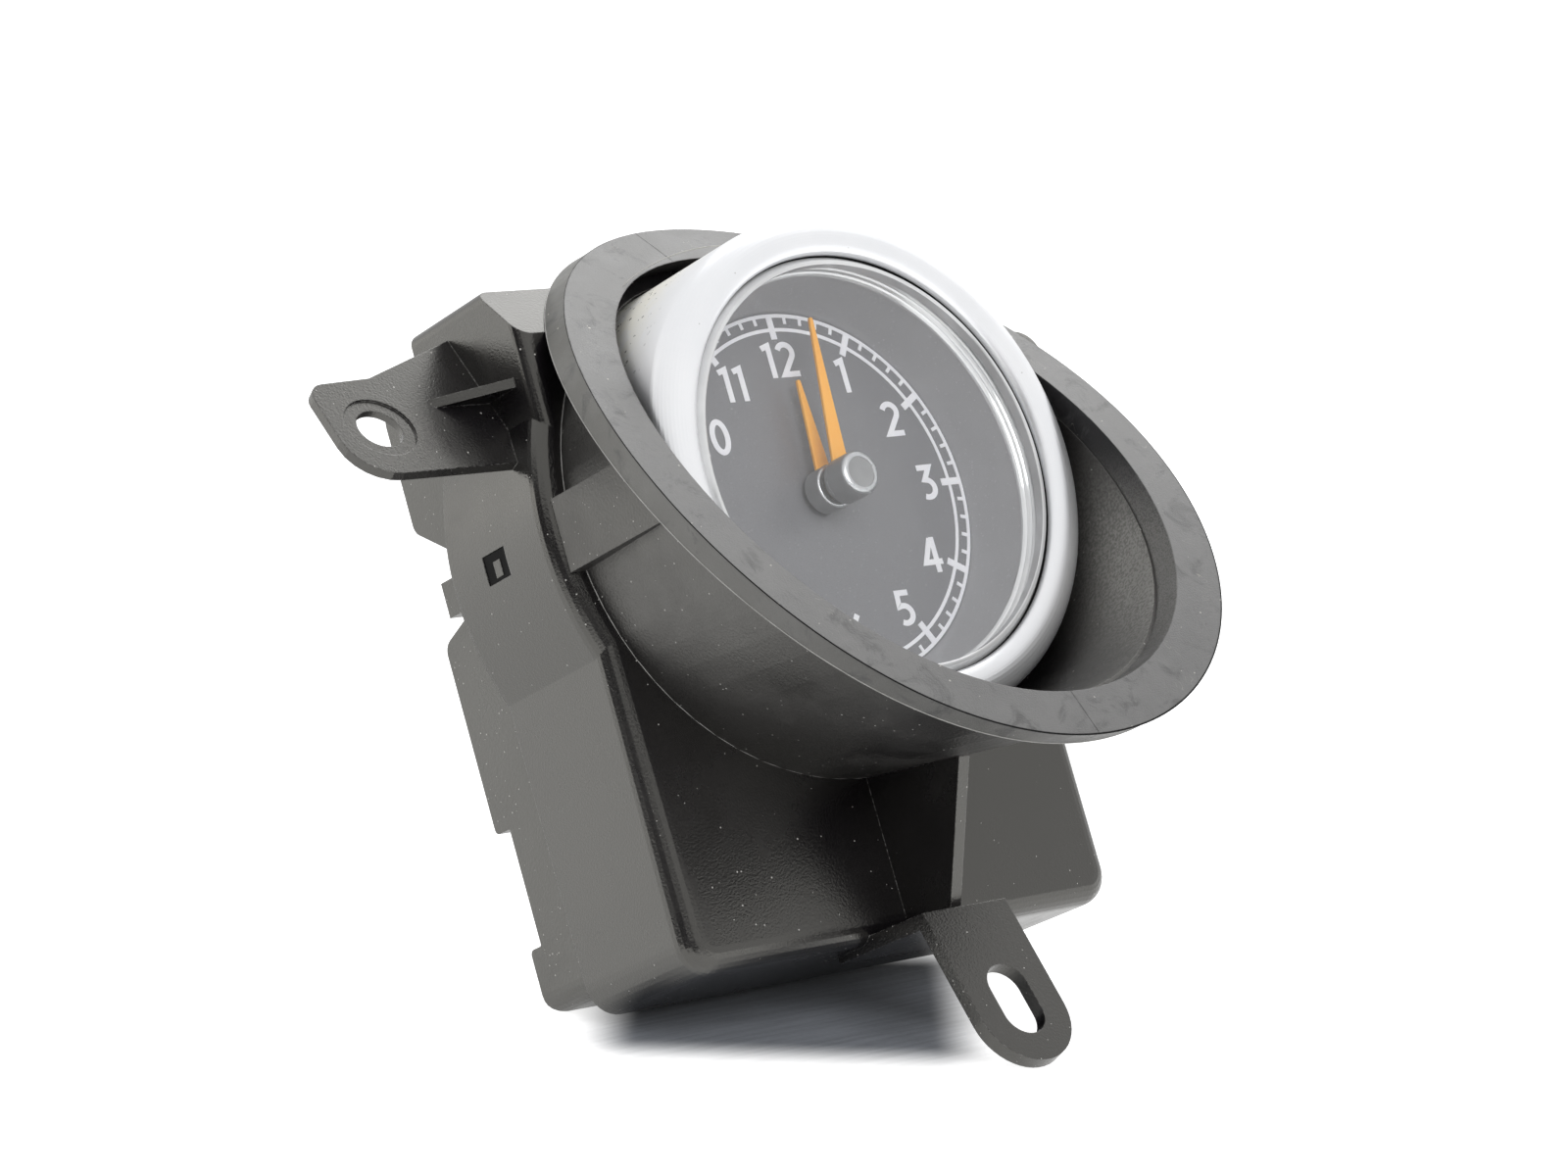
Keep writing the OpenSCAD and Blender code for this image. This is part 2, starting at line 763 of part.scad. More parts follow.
module dial_carrier() {
    color("#38383a") stand() difference() {
        union() {
            rod(inside_r, guide_back, shoulder_z);
            for (p = movement_posts) rod(post_r, carrier_back + eps, rear_plate_z, p);
        }
        rod(seat_r - 2, guide_back + over, carrier_z);
        difference() {
            rod(shoulder_r + 0.7, carrier_back, shoulder_z - over);
            for (p = movement_posts) rod(post_r, carrier_back + over, shoulder_z - 2 * over, p);
        }
        rod(arbor_r + run, over, carrier_back - over);
        for (p = [between_at, rotor_at]) rod(pivot_r + run, over, carrier_back - over, p);
        rod(pivot_r + seat, over, carrier_back - over, minute_at);
        for (p = movement_posts) rod(screw_r + run, carrier_back - over, rear_plate_z - over, p);
        for (p = carrier_points) rod(screw_r + run, carrier_back + over / 2, shoulder_z - over, p);
    }
}

module rear_plate() {
    color("#b9a56a") stand() difference() {
        union() {
            rod(rear_plate_r, rear_plate_z, rear_plate_back);
            for (y = [coil_low - leg_w / 2, coil_top + leg_w / 2])
                rod(1.4, stator_z - stator_t, rear_plate_z - eps, [coil_x, y]);
        }
        rod(arbor_r + run, rear_plate_z + over, rear_plate_back - over);
        for (p = [between_at, rotor_at]) rod(pivot_r + run, rear_plate_z + over, rear_plate_back - over, p);
        for (p = movement_posts) rod(screw_r + run, rear_plate_z + over, rear_plate_back - over, p);
    }
}

module toothed(teeth, size, angle, front, back, at = [0, 0]) {
    plate(front, back) translate(at) polygon(gear(teeth, size, angle));
}

module centre_wheel() {
    color("#c9b26d") stand() {
        toothed(centre_teeth, train_module, -90, centre_wheel_z, centre_wheel_z - wheel_t);
        rod(arbor_r, arbor_front, rear_plate_back);
        rod(3 * arbor_r, centre_wheel_z, centre_wheel_z - 2 * wheel_t);
    }
}

module cannon_pinion() {
    color("#b0b2b5") stand() difference() {
        toothed(cannon_teeth, train_module, 0, cannon_z, carrier_z + gap_z);
        rod(arbor_r + seat, over, carrier_back);
    }
}

// Tapered needle pointing up, with a round root
module needle(length) {
    polygon([[hand_root_w / 2, 0], [hand_tip_w / 2, length], [-hand_tip_w / 2, length], [-hand_root_w / 2, 0]]);
}

module minute_hand() {
    color("#f59a35") stand() rotate(-minute_angle) plate(minute_hand_z, minute_hand_z - hand_t)
        difference() {
            union() {
                needle(minute_len);
                circle(r = cap_r - slip);
            }
            circle(r = arbor_r + seat);
        }
}

module hub_cap() {
    bevel = 0.4;
    section = [
        [0, minute_hand_z], [cap_r, minute_hand_z], [cap_r, cap_front - bevel], [cap_r - bevel, cap_front],
        [0, cap_front]];
    color("#b8babd") stand() difference() {
        rotate_extrude() polygon(section);
        rod(arbor_r + seat, arbor_front + seat, minute_hand_z - over);
    }
}

module hour_wheel() {
    color("#e8e4d8") stand() difference() {
        union() {
            toothed(hour_teeth, hour_module, 0, hour_wheel_z, hour_wheel_z - wheel_t);
            rod(pipe_r, boss_front, hour_wheel_z - eps);
        }
        rod(arbor_r + run, over, carrier_z);
    }
}

module hour_hand() {
    color("#f59a35") stand() rotate(-hour_angle) difference() {
        union() {
            plate(hour_hand_z, hour_hand_z - hand_t) needle(hour_len);
            rod(boss_r, boss_front, boss_back);
        }
        rod(pipe_r + seat, over, dial_z);
    }
}

module minute_wheel() {
    pinion_angle = gap_angle(minute_pinion_teeth, 180);
    color("#e8e4d8") stand() difference() {
        union() {
            toothed(minute_teeth, train_module, gap_angle(minute_teeth, 180), minute_wheel_z,
                minute_wheel_z - wheel_t, minute_at);
            toothed(minute_pinion_teeth, hour_module, pinion_angle, minute_pinion_z,
                minute_wheel_z - eps, minute_at);
        }
        rod(pivot_r + run, over, carrier_z, minute_at);
    }
}

module minute_post() {
    color("#b0b2b5") stand() {
        rod(pivot_r, minute_pinion_z, carrier_back, minute_at);
        rod(2 * pivot_r, minute_wheel_z - wheel_t - gap_z, carrier_z, minute_at);
    }
}

// Arbor between the plates with a thinner pivot at each end
module staff(at) {
    rod(pivot_r, carrier_z - run, rear_plate_back, at);
    rod(1.6 * pivot_r, carrier_back - gap_z, rear_plate_z + gap_z, at);
}

module intermediate_wheel() {
    color("#e8e4d8") stand() {
        staff(between_at);
        toothed(between_pinion_teeth, train_module, gap_angle(between_pinion_teeth, 90), centre_wheel_z + gap_z,
            between_wheel_z - eps, between_at);
        toothed(between_teeth, train_module, 0, between_wheel_z, between_wheel_z - wheel_t, between_at);
    }
}

module rotor() {
    color("#5a5c60") stand() {
        staff(rotor_at);
        toothed(rotor_teeth, train_module, gap_angle(rotor_teeth, 180), between_wheel_z + gap_z,
            magnet_z - eps, rotor_at);
        rod(magnet_r, magnet_z, magnet_z - magnet_t, rotor_at);
    }
}

module stator() {
    leg_x = rotor_at.x - 4;
    end_x = coil_x + leg_w / 2;
    color("#8f9296") stand() plate(stator_z, stator_z - stator_t) difference() {
        union() {
            translate(rotor_at) circle(r = magnet_r + 2.4);
            translate([leg_x, rotor_at.y]) square([leg_w, coil_top + leg_w - rotor_at.y]);
            translate([leg_x, coil_top]) square([end_x - leg_x, leg_w]);
            translate([rotor_at.x, coil_low - leg_w]) square([end_x - rotor_at.x, leg_w]);
            translate([coil_x - core_w / 2, coil_low - eps]) square([core_w, coil_top - coil_low + 2 * eps]);
        }
        translate(rotor_at) circle(r = magnet_r + 0.4);
    }
}

// Cylinder along the coil, in the middle of the stator's thickness
module coil_rod(r, low, high) {
    translate([coil_x, high, stator_z - stator_t / 2]) rotate([90, 0, 0]) cylinder(r = r, h = high - low);
}

module coil_bobbin() {
    low = coil_low + seat;
    high = coil_top - seat;
    hole_h = stator_t + 2 * seat;
    color("#e8e8e4") stand() difference() {
        union() {
            coil_rod(bobbin_r, low, high);
            for (y = [low, high - 0.8]) coil_rod(coil_r, y, y + 0.8);
        }
        plate(stator_z + seat, stator_z + seat - hole_h)
            translate([coil_x - core_w / 2 - seat, low - over])
                square([core_w + 2 * seat, high - low + 2 * over]);
    }
}

module coil_winding() {
    low = coil_low + 1;
    high = coil_top - 1;
    color("#a85a2c") stand() difference() {
        coil_rod(coil_r - 0.1, low, high);
        coil_rod(bobbin_r + seat, low - over, high + over);
    }
}

module circuit_board() {
    color("#1d5c3d") stand() plate(board_z, board_back) difference() {
        round_rect(board_hw, board_low, board_top, 2);
        for (p = concat(board_posts, low_posts)) translate(p) circle(r = screw_r + run);
    }
}

module control_chip() {
    color("#202124") stand() block(chip_w, chip_w, board_back, board_back - 0.15 * chip_w, chip_at);
}

module quartz_crystal() {
    end_r = crystal_len / 5;
    straight = crystal_len - 2 * end_r;
    color("#b9bcc0") stand() plate(board_back, board_back - 0.3 * crystal_len) translate(crystal_at) {
        for (side = [-1, 1]) translate([side * straight / 2, 0]) circle(r = end_r);
        square([straight, 2 * end_r], center = true);
    }
}

module capacitors() {
    color("#30343a") stand() for (side = [-1, 1])
        rod(capacitor_r, board_back, board_back - capacitor_h,
            [crystal_at.x + side * 2 * capacitor_r, capacitor_y]);
}

module connector_socket() {
    color("#d9d6cc") stand() difference() {
        block(socket_w, socket_h, board_back, socket_back, [0, socket_y]);
        block(socket_w - 2 * socket_wall, socket_h - 2 * socket_wall, socket_floor, socket_back - over,
            [0, socket_y]);
        pins(seat, over);
    }
}

// Row of square pins, widened by a clearance and lengthened towards the board
module pins(clear, more) {
    for (i = [0 : pin_count - 1])
        block(pin_w + 2 * clear, pin_w + 2 * clear, board_back + more, socket_floor - pin_len,
            [(i - (pin_count - 1) / 2) * pin_step, socket_y]);
}

module connector_pins() {
    color("#c8a24a") stand() pins(0, 0);
}

// Screws whose heads lie behind a seat
module screws(points, seat_z, length) {
    for (p = points) {
        rod(head_r, seat_z, seat_z - head_t, p);
        rod(screw_r, seat_z + length, seat_z - eps, p);
    }
}

module movement_screws() {
    color("#9a9da1") stand() screws(movement_posts, rear_plate_back, 6);
}

module carrier_screws() {
    color("#9a9da1") stand() screws(carrier_points, shoulder_back, wall + 2.5);
}

module board_screws() {
    color("#9a9da1") stand() screws(concat(board_posts, low_posts), board_back, 6);
}

// Side profile of the cover, height against depth, open towards the front
function cover_profile(front) = rounded([
    [cover_top, front, 0],
    [cover_top, top_z, 0.8],
    [upper_top, top_z, 0.3],
    [upper_top, block_z, cover_edge],
    [upper_low, block_z, cover_edge],
    [upper_low - 4.7, notch_z, 0.8],
    [middle_top + 2.3, notch_z, 0.8],
    [middle_top, block_z, cover_edge],
    [middle_low, block_z, 0.8],
    [middle_low, recess_z, 0.3],
    [foot_top, recess_z, 0.3],
    [foot_top, foot_z, 0.8],
    [cover_low, foot_z, cover_edge],
    [cover_low, front, 0]]);

// Snap hook that enters the catch window, and the latch finger on the back
module snap_hook(side) {
    catch_back = face_z - window_at - window_d + slip;
    arm_x = hollow_r - slip - hook_t;
    arm_w = window_h - 2 * slip;
    block(hook_t, arm_w, catch_back + 4, box_z - over, [side * (arm_x + hook_t / 2), 0]);
    block(hook_t + wall, arm_w - 2 * slip, catch_back + 3, catch_back,
        [side * (arm_x + (hook_t + wall) / 2), 0]);
    block(4, 4.9, notch_z + over, notch_z - latch_d, [side * (cover_hw - 2), 1]);
}

module rear_cover() {
    socket_gap = 2 * slip;
    color("#2e2e30") stand() difference() {
        union() {
            intersection() {
                across(2 * cover_hw) polygon(cover_profile(box_z));
                plate(box_z + over, block_z - over)
                    round_rect(cover_hw, cover_low, cover_top, corner_r - cover_inset);
            }
            rod(bulge_r - cover_inset, box_z, top_z);
            for (side = [-1, 1]) snap_hook(side);
        }
        across(2 * (cover_hw - cover_wall)) offset(delta = -cover_wall)
            polygon(cover_profile(box_z + 4 * cover_wall));
        block(socket_w + socket_gap, socket_h + socket_gap, box_z, block_z - over, [0, socket_y]);
    }
}

front_housing();
funnel_shroud();
rim_seal_left();
rim_seal_right();
bezel();
lens();
lens_gasket();
light_ring();
dial();
track_print();
light_guide();
lamp_board();
lamps();
dial_carrier();
rear_plate();
centre_wheel();
cannon_pinion();
minute_hand();
hub_cap();
hour_wheel();
hour_hand();
minute_wheel();
minute_post();
intermediate_wheel();
rotor();
stator();
coil_bobbin();
coil_winding();
circuit_board();
control_chip();
quartz_crystal();
capacitors();
connector_socket();
connector_pins();
movement_screws();
carrier_screws();
board_screws();
rear_cover();
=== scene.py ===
import json
import math
import bmesh
import bpy
from mathutils import Matrix, Vector

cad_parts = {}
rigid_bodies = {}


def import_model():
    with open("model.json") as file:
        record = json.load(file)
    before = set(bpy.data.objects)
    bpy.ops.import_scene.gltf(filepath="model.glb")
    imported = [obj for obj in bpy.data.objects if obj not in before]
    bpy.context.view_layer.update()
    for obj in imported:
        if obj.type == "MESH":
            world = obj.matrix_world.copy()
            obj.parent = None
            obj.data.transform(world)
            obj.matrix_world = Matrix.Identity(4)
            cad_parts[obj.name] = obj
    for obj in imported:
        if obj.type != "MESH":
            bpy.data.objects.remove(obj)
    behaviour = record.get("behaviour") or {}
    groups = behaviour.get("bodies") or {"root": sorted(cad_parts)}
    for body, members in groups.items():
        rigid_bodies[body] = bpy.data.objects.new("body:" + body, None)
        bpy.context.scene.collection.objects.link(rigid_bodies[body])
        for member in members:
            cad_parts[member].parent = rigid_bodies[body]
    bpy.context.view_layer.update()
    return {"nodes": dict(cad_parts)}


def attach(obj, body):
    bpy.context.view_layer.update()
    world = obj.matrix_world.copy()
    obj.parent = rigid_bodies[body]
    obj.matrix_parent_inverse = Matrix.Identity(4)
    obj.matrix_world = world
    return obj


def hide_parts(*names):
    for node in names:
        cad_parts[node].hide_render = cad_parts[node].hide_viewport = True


for stray in list(bpy.data.objects):  # the startup file's own objects
    bpy.data.objects.remove(stray)
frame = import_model()
nodes = frame["nodes"]
scene = bpy.context.scene
print("frame loaded with", len(nodes), "solids")

# the dial's own frame: x right, y up the dial, z out of the dial, in millimetres
mm = 0.001
dialStand = {"lean": 27.0613, "y": -5.59464, "z": 72.7346}
dialToRow = (Matrix.Translation((0, dialStand["y"] * mm, dialStand["z"] * mm))
             @ Matrix.Rotation(math.radians(90 - dialStand["lean"]), 4, "X") @ Matrix.Scale(mm, 4))
dialAxis = dialToRow.to_3x3().col[2].normalized()


# node helpers: inputs go by name, with _ for a space, or by number as i0, i1
def put(tree, kind, settings=None, **inputs):
    node = tree.nodes.new(kind)
    for key, value in (settings or {}).items():
        setattr(node, key, value)
    for key, value in inputs.items():
        place = int(key[1:]) if key[0] == "i" and key[1:].isdigit() else key.replace("_", " ")
        if isinstance(value, bpy.types.NodeSocket):
            tree.links.new(value, node.inputs[place])
        else:
            node.inputs[place].default_value = value
    return node


def sums(tree, how, a, b=0.0, clamp=False):
    return put(tree, "ShaderNodeMath", {"operation": how, "use_clamp": clamp}, i0=a, i1=b).outputs[0]


def remap(tree, value, low, high, outLow, outHigh):
    node = put(tree, "ShaderNodeMapRange", {"interpolation_type": "SMOOTHSTEP"}, Value=value, From_Min=low,
               From_Max=high, To_Min=outLow, To_Max=outHigh)
    return node.outputs[0]


def tint(tree, factor, a, b, how="MIX"):
    node = put(tree, "ShaderNodeMix", {"data_type": "RGBA", "blend_type": how}, i0=factor, i6=a, i7=b)
    return node.outputs[2]


def dot(tree, a, b):
    return put(tree, "ShaderNodeVectorMath", {"operation": "DOT_PRODUCT"}, i0=a, i1=b).outputs["Value"]


def objectSpot(tree):
    return put(tree, "ShaderNodeTexCoord").outputs["Object"]


def faceNormal(tree):
    return put(tree, "ShaderNodeNewGeometry").outputs["Normal"]


# positive where a face looks away from the middle of the dial
def outwardTurn(tree):
    reach = put(tree, "ShaderNodeVectorMath", {"operation": "SUBTRACT"}, i0=objectSpot(tree),
                i1=dialToRow.translation).outputs[0]
    return dot(tree, reach, faceNormal(tree))


# 1 for rays that show a surface, 0 for rays that only carry light
def shownRays(tree):
    path = put(tree, "ShaderNodeLightPath").outputs
    mirrored = sums(tree, "MAXIMUM", path["Is Glossy Ray"], path["Is Transmission Ray"])
    return sums(tree, "MAXIMUM", path["Is Camera Ray"], mirrored)


def newGroup(name, inputs, outputs):
    group = bpy.data.node_groups.new(name, "ShaderNodeTree")
    for label, value in inputs:
        socket = group.interface.new_socket(label, in_out="INPUT", socket_type="NodeSocketFloat")
        socket.default_value = value
    for label, kind in outputs:
        group.interface.new_socket(label, in_out="OUTPUT", socket_type="NodeSocket" + kind)
    return group, group.nodes.new("NodeGroupInput"), group.nodes.new("NodeGroupOutput")


def useGroup(tree, group, **inputs):
    return put(tree, "ShaderNodeGroup", {"node_tree": group}, **inputs).outputs


# the fixed character of each effect; scales, shares and amounts come from the finishes
effects = {"cloudSpan": (0.3, 0.7), "leastGrain": 0.25, "dustRough": 0.3, "wearBend": (0.995, 0.86),
           "wearPatch": (0.44, 0.62), "smudgeSoft": 0.16, "fibreHalf": 0.006, "fibreShift": (0.31, 0.17, 0.05)}


# moulded grain: fine height and slow tone, in object metres
def makeGrain():
    group, given, out = newGroup("mouldedGrain", [("Scale", 3000.0), ("Cloud Scale", 60.0)],
                                 [("Height", "Float"), ("Tone", "Float")])
    spot = objectSpot(group)
    fine = put(group, "ShaderNodeTexNoise", Vector=spot, Scale=given.outputs["Scale"], Detail=2.0)
    slow = put(group, "ShaderNodeTexNoise", Vector=spot, Scale=given.outputs["Cloud Scale"], Detail=5.0,
               Roughness=0.62)
    group.links.new(fine.outputs[0], out.inputs["Height"])
    group.links.new(remap(group, slow.outputs[0], *effects["cloudSpan"], 0.0, 1.0), out.inputs["Tone"])
    return group


# dust specks: small round grains of many sizes, scattered by cell
def makeDust():
    group, given, out = newGroup("dustSpecks", [("Scale", 400.0), ("Share", 0.2), ("Size", 0.12)],
                                 [("Mask", "Float")])
    spot = objectSpot(group)
    cell = put(group, "ShaderNodeTexVoronoi", Vector=spot, Scale=given.outputs["Scale"])
    lot = put(group, "ShaderNodeSeparateColor", Color=cell.outputs["Color"])
    reach = sums(group, "MULTIPLY", given.outputs["Size"], sums(group, "ADD", lot.outputs[1], effects["leastGrain"]))
    inside = sums(group, "LESS_THAN", cell.outputs["Distance"], reach)
    chosen = sums(group, "LESS_THAN", lot.outputs[0], given.outputs["Share"])
    group.links.new(sums(group, "MULTIPLY", inside, chosen), out.inputs["Mask"])
    return group


# edge wear, and on the black plastics painted glints: where the rounded normal leaves the face normal, broken up by
# noise
def makeWear():
    group, given, out = newGroup("edgeWearAndGlint", [("Width", 0.0004), ("Breakup", 900.0)],
                                 [("Mask", "Float"), ("Normal", "Vector")])
    rounded = put(group, "ShaderNodeBevel", {"samples": 4}, Radius=given.outputs["Width"])
    bend = remap(group, dot(group, rounded.outputs[0], faceNormal(group)), *effects["wearBend"], 0.0, 1.0)
    spot = objectSpot(group)
    noise = put(group, "ShaderNodeTexNoise", Vector=spot, Scale=given.outputs["Breakup"], Detail=3.0)
    patchy = remap(group, noise.outputs[0], *effects["wearPatch"], 0.0, 1.0)
    group.links.new(sums(group, "MULTIPLY", bend, patchy), out.inputs["Mask"])
    group.links.new(rounded.outputs[0], out.inputs["Normal"])
    return group


# smudges: stretched clouds for wiped or handled places
def makeSmudge():
    group, given, out = newGroup("handlingSmudge", [("Scale", 90.0), ("Cover", 0.5)], [("Mask", "Float")])
    spot = objectSpot(group)
    cloud = put(group, "ShaderNodeTexNoise", Vector=spot, Scale=given.outputs["Scale"], Detail=6.0, Roughness=0.68,
                Distortion=0.7)
    edge = sums(group, "SUBTRACT", 1.0, given.outputs["Cover"])
    full = sums(group, "ADD", edge, effects["smudgeSoft"])
    group.links.new(remap(group, cloud.outputs[0], edge, full, 0.0, 1.0), out.inputs["Mask"])
    return group


# lint: short curled fibres, cut from the contour lines of one cloud by another
def makeLint():
    group, given, out = newGroup("lintFibres", [("Scale", 260.0), ("Cover", 0.32)], [("Mask", "Float")])
    spot = objectSpot(group)
    curl = put(group, "ShaderNodeTexNoise", Vector=spot, Scale=given.outputs["Scale"], Detail=1.0, Distortion=1.5)
    contour = sums(group, "ABSOLUTE", sums(group, "SUBTRACT", curl.outputs[0], 0.5))
    line = sums(group, "LESS_THAN", contour, effects["fibreHalf"])
    shift = put(group, "ShaderNodeMapping", Vector=spot, Location=effects["fibreShift"]).outputs[0]
    gate = put(group, "ShaderNodeTexNoise", Vector=shift, Scale=given.outputs["Scale"], Detail=1.0)
    edge = sums(group, "SUBTRACT", 1.0, given.outputs["Cover"])
    group.links.new(sums(group, "MULTIPLY", line, sums(group, "GREATER_THAN", gate.outputs[0], edge)),
                    out.inputs["Mask"])
    return group


grainGroup, dustGroup, wearAndGlintGroup, smudgeGroup = makeGrain(), makeDust(), makeWear(), makeSmudge()
lintGroup = makeLint()
print("surface groups ready")


def newMaterial(name, **values):
    material = bpy.data.materials.new(name)
    material.use_nodes = True
    tree = material.node_tree
    shader = tree.nodes["Principled BSDF"]
    for key, value in values.items():
        shader.inputs[key.replace("_", " ")].default_value = value
    return material, tree, shader


def rgb(*parts):
    return (*parts, 1.0)


def dress(tree, shader, colour, rough, bump):
    for place, value in (("Base Color", colour), ("Roughness", rough), ("Normal", bump.outputs[0])):
        tree.links.new(value, shader.inputs[place])


# one recipe serves every moulded, painted or rolled surface; the dictionaries below hold what differs
def surface(name, look):
    material, tree, shader = newMaterial(name, **look.get("shader", {}))
    grain = useGroup(tree, grainGroup, Scale=look["grain"], Cloud_Scale=look["cloud"])
    colour = tint(tree, grain["Tone"], rgb(*look["deep"]), rgb(*look["pale"]))
    rough = remap(tree, grain["Tone"], 0.0, 1.0, *look["rough"])
    bump = put(tree, "ShaderNodeBump", Strength=look["bump"], Distance=look["bumpDepth"], Height=grain["Height"])
    if "faceWay" in look:  # sides differ from the face that looks this way, and the inner side is painted nearly black as painted shade
        front = remap(tree, dot(tree, faceNormal(tree), look["faceWay"]), *look["faceSpan"], 0.0, 1.0)
        outer = sums(tree, "GREATER_THAN", outwardTurn(tree), 0.0)
        side = tint(tree, outer, rgb(*look["inner"]), rgb(*look["side"]))
        colour = tint(tree, front, side, colour)
    if "smudge" in look:
        smudge = useGroup(tree, smudgeGroup, Scale=look["smudgeScale"], Cover=look["smudgeCover"])["Mask"]
        colour = tint(tree, sums(tree, "MULTIPLY", smudge, look["smudgeAmount"]), colour, rgb(*look["smudge"]))
        rough = sums(tree, "ADD", rough, sums(tree, "MULTIPLY", smudge, look["smudgeRough"]))
    # edge colour: wear, and on the black plastics painted glints along the ridges
    if "wearAndGlint" in look:
        wearAndGlint = useGroup(tree, wearAndGlintGroup, Width=look["wearWidth"], Breakup=look["wearBreakup"])
        edge = rgb(*look["wearAndGlint"])
        if "faceWay" in look:
            edge = tint(tree, front, tint(tree, outer, rgb(*look["inner"]), edge), rgb(*look["faceEdge"]))
        colour = tint(tree, sums(tree, "MULTIPLY", wearAndGlint["Mask"], look["wearAmount"]), colour, edge)
        tree.links.new(wearAndGlint["Normal"], bump.inputs["Normal"])
    if "dust" in look:
        dust = useGroup(tree, dustGroup, Scale=look["dustScale"], Share=look["dustShare"],
                        Size=look["dustSize"])["Mask"]
        colour = tint(tree, sums(tree, "MULTIPLY", dust, look["dustAmount"]), colour, rgb(*look["dust"]))
        rough = sums(tree, "ADD", rough, sums(tree, "MULTIPLY", dust, effects["dustRough"]), True)
    if "fibre" in look:
        lint = useGroup(tree, lintGroup)["Mask"]
        colour = tint(tree, sums(tree, "MULTIPLY", lint, look["fibreAmount"]), colour, rgb(*look["fibre"]))
    if "grime" in look:  # dirt that gathers deep along the dial's axis
        filmAndSheen = useGroup(tree, smudgeGroup, **look["grimeFilm"])["Mask"]
        grit = useGroup(tree, dustGroup, **look["gritGrains"])["Mask"]
        inward = remap(tree, dot(tree, objectSpot(tree), dialAxis), *look["grimeSpan"], 1.0, 0.0)
        least, more = look["grimeShare"]
        share = sums(tree, "ADD", sums(tree, "MULTIPLY", filmAndSheen, more), least)
        colour = tint(tree, sums(tree, "MULTIPLY", inward, share), colour, rgb(*look["grime"]))
        colour = tint(tree, sums(tree, "MULTIPLY", inward, grit), colour, rgb(*look["grit"]))
        rough = sums(tree, "ADD", rough, sums(tree, "MULTIPLY", inward, look["grimeRough"]), True)
    if "paintedSheen" in look:  # painted sheen: a pale film on faces that look inwards, thicker near the rim and at mid height
        spot = objectSpot(tree)
        level = put(tree, "ShaderNodeSeparateXYZ", Vector=spot).outputs[2]
        middle, spread = look["sheenLevel"]
        belt = remap(tree, sums(tree, "ABSOLUTE", sums(tree, "SUBTRACT", level, middle)), 0.0, spread, 1.0, 0.0)
        filmAndSheen = sums(tree, "MULTIPLY", belt, remap(tree, dot(tree, spot, dialAxis), *look["sheenSpan"], 0.0, 1.0))
        grainy = sums(tree, "MULTIPLY", filmAndSheen, remap(tree, grain["Height"], *look["sheenBreak"]))
        inside = sums(tree, "LESS_THAN", outwardTurn(tree), 0.0)
        colour = tint(tree, sums(tree, "MULTIPLY", inside, grainy), colour, rgb(*look["paintedSheen"]))
    if "fall" in look:  # painted shade: darker towards the floor
        height = put(tree, "ShaderNodeSeparateXYZ", Vector=objectSpot(tree)).outputs[2]
        low = remap(tree, height, *look["fallSpan"], 1.0, 0.0)
        colour = tint(tree, sums(tree, "MULTIPLY", low, look["fallAmount"]), colour, rgb(*look["fall"]), "MULTIPLY")
    dress(tree, shader, colour, rough, bump)
    return material


# black plastics: the pale specks along their edges are partly wear and partly painted glints
blackLook = {"deep": (0.0058, 0.0050, 0.0062), "pale": (0.0105, 0.0096, 0.0108), "grain": 3200.0, "cloud": 45.0,
             "rough": (0.22, 0.30), "bump": 0.22, "bumpDepth": 0.0002,
             "smudge": (0.019, 0.0178, 0.0185), "smudgeScale": 55.0, "smudgeCover": 0.42, "smudgeAmount": 0.4,
             "smudgeRough": 0.08,
             "wearAndGlint": (0.36, 0.355, 0.35), "wearWidth": 0.00022, "wearBreakup": 2100.0, "wearAmount": 0.55,
             "dust": (0.72, 0.71, 0.68), "dustScale": 1500.0, "dustShare": 0.11, "dustSize": 0.15,
             "dustAmount": 0.7, "shader": {"IOR": 1.8, "Specular_Tint": rgb(1.0, 0.985, 0.91)}}
# painted sheen inside the rim: where along the dial's axis, around which height, and how broken up
rimSheen = {"sheenSpan": (0.030, 0.052), "sheenLevel": (0.0605, 0.0155), "sheenBreak": (0.35, 0.65, 0.6, 1.3)}
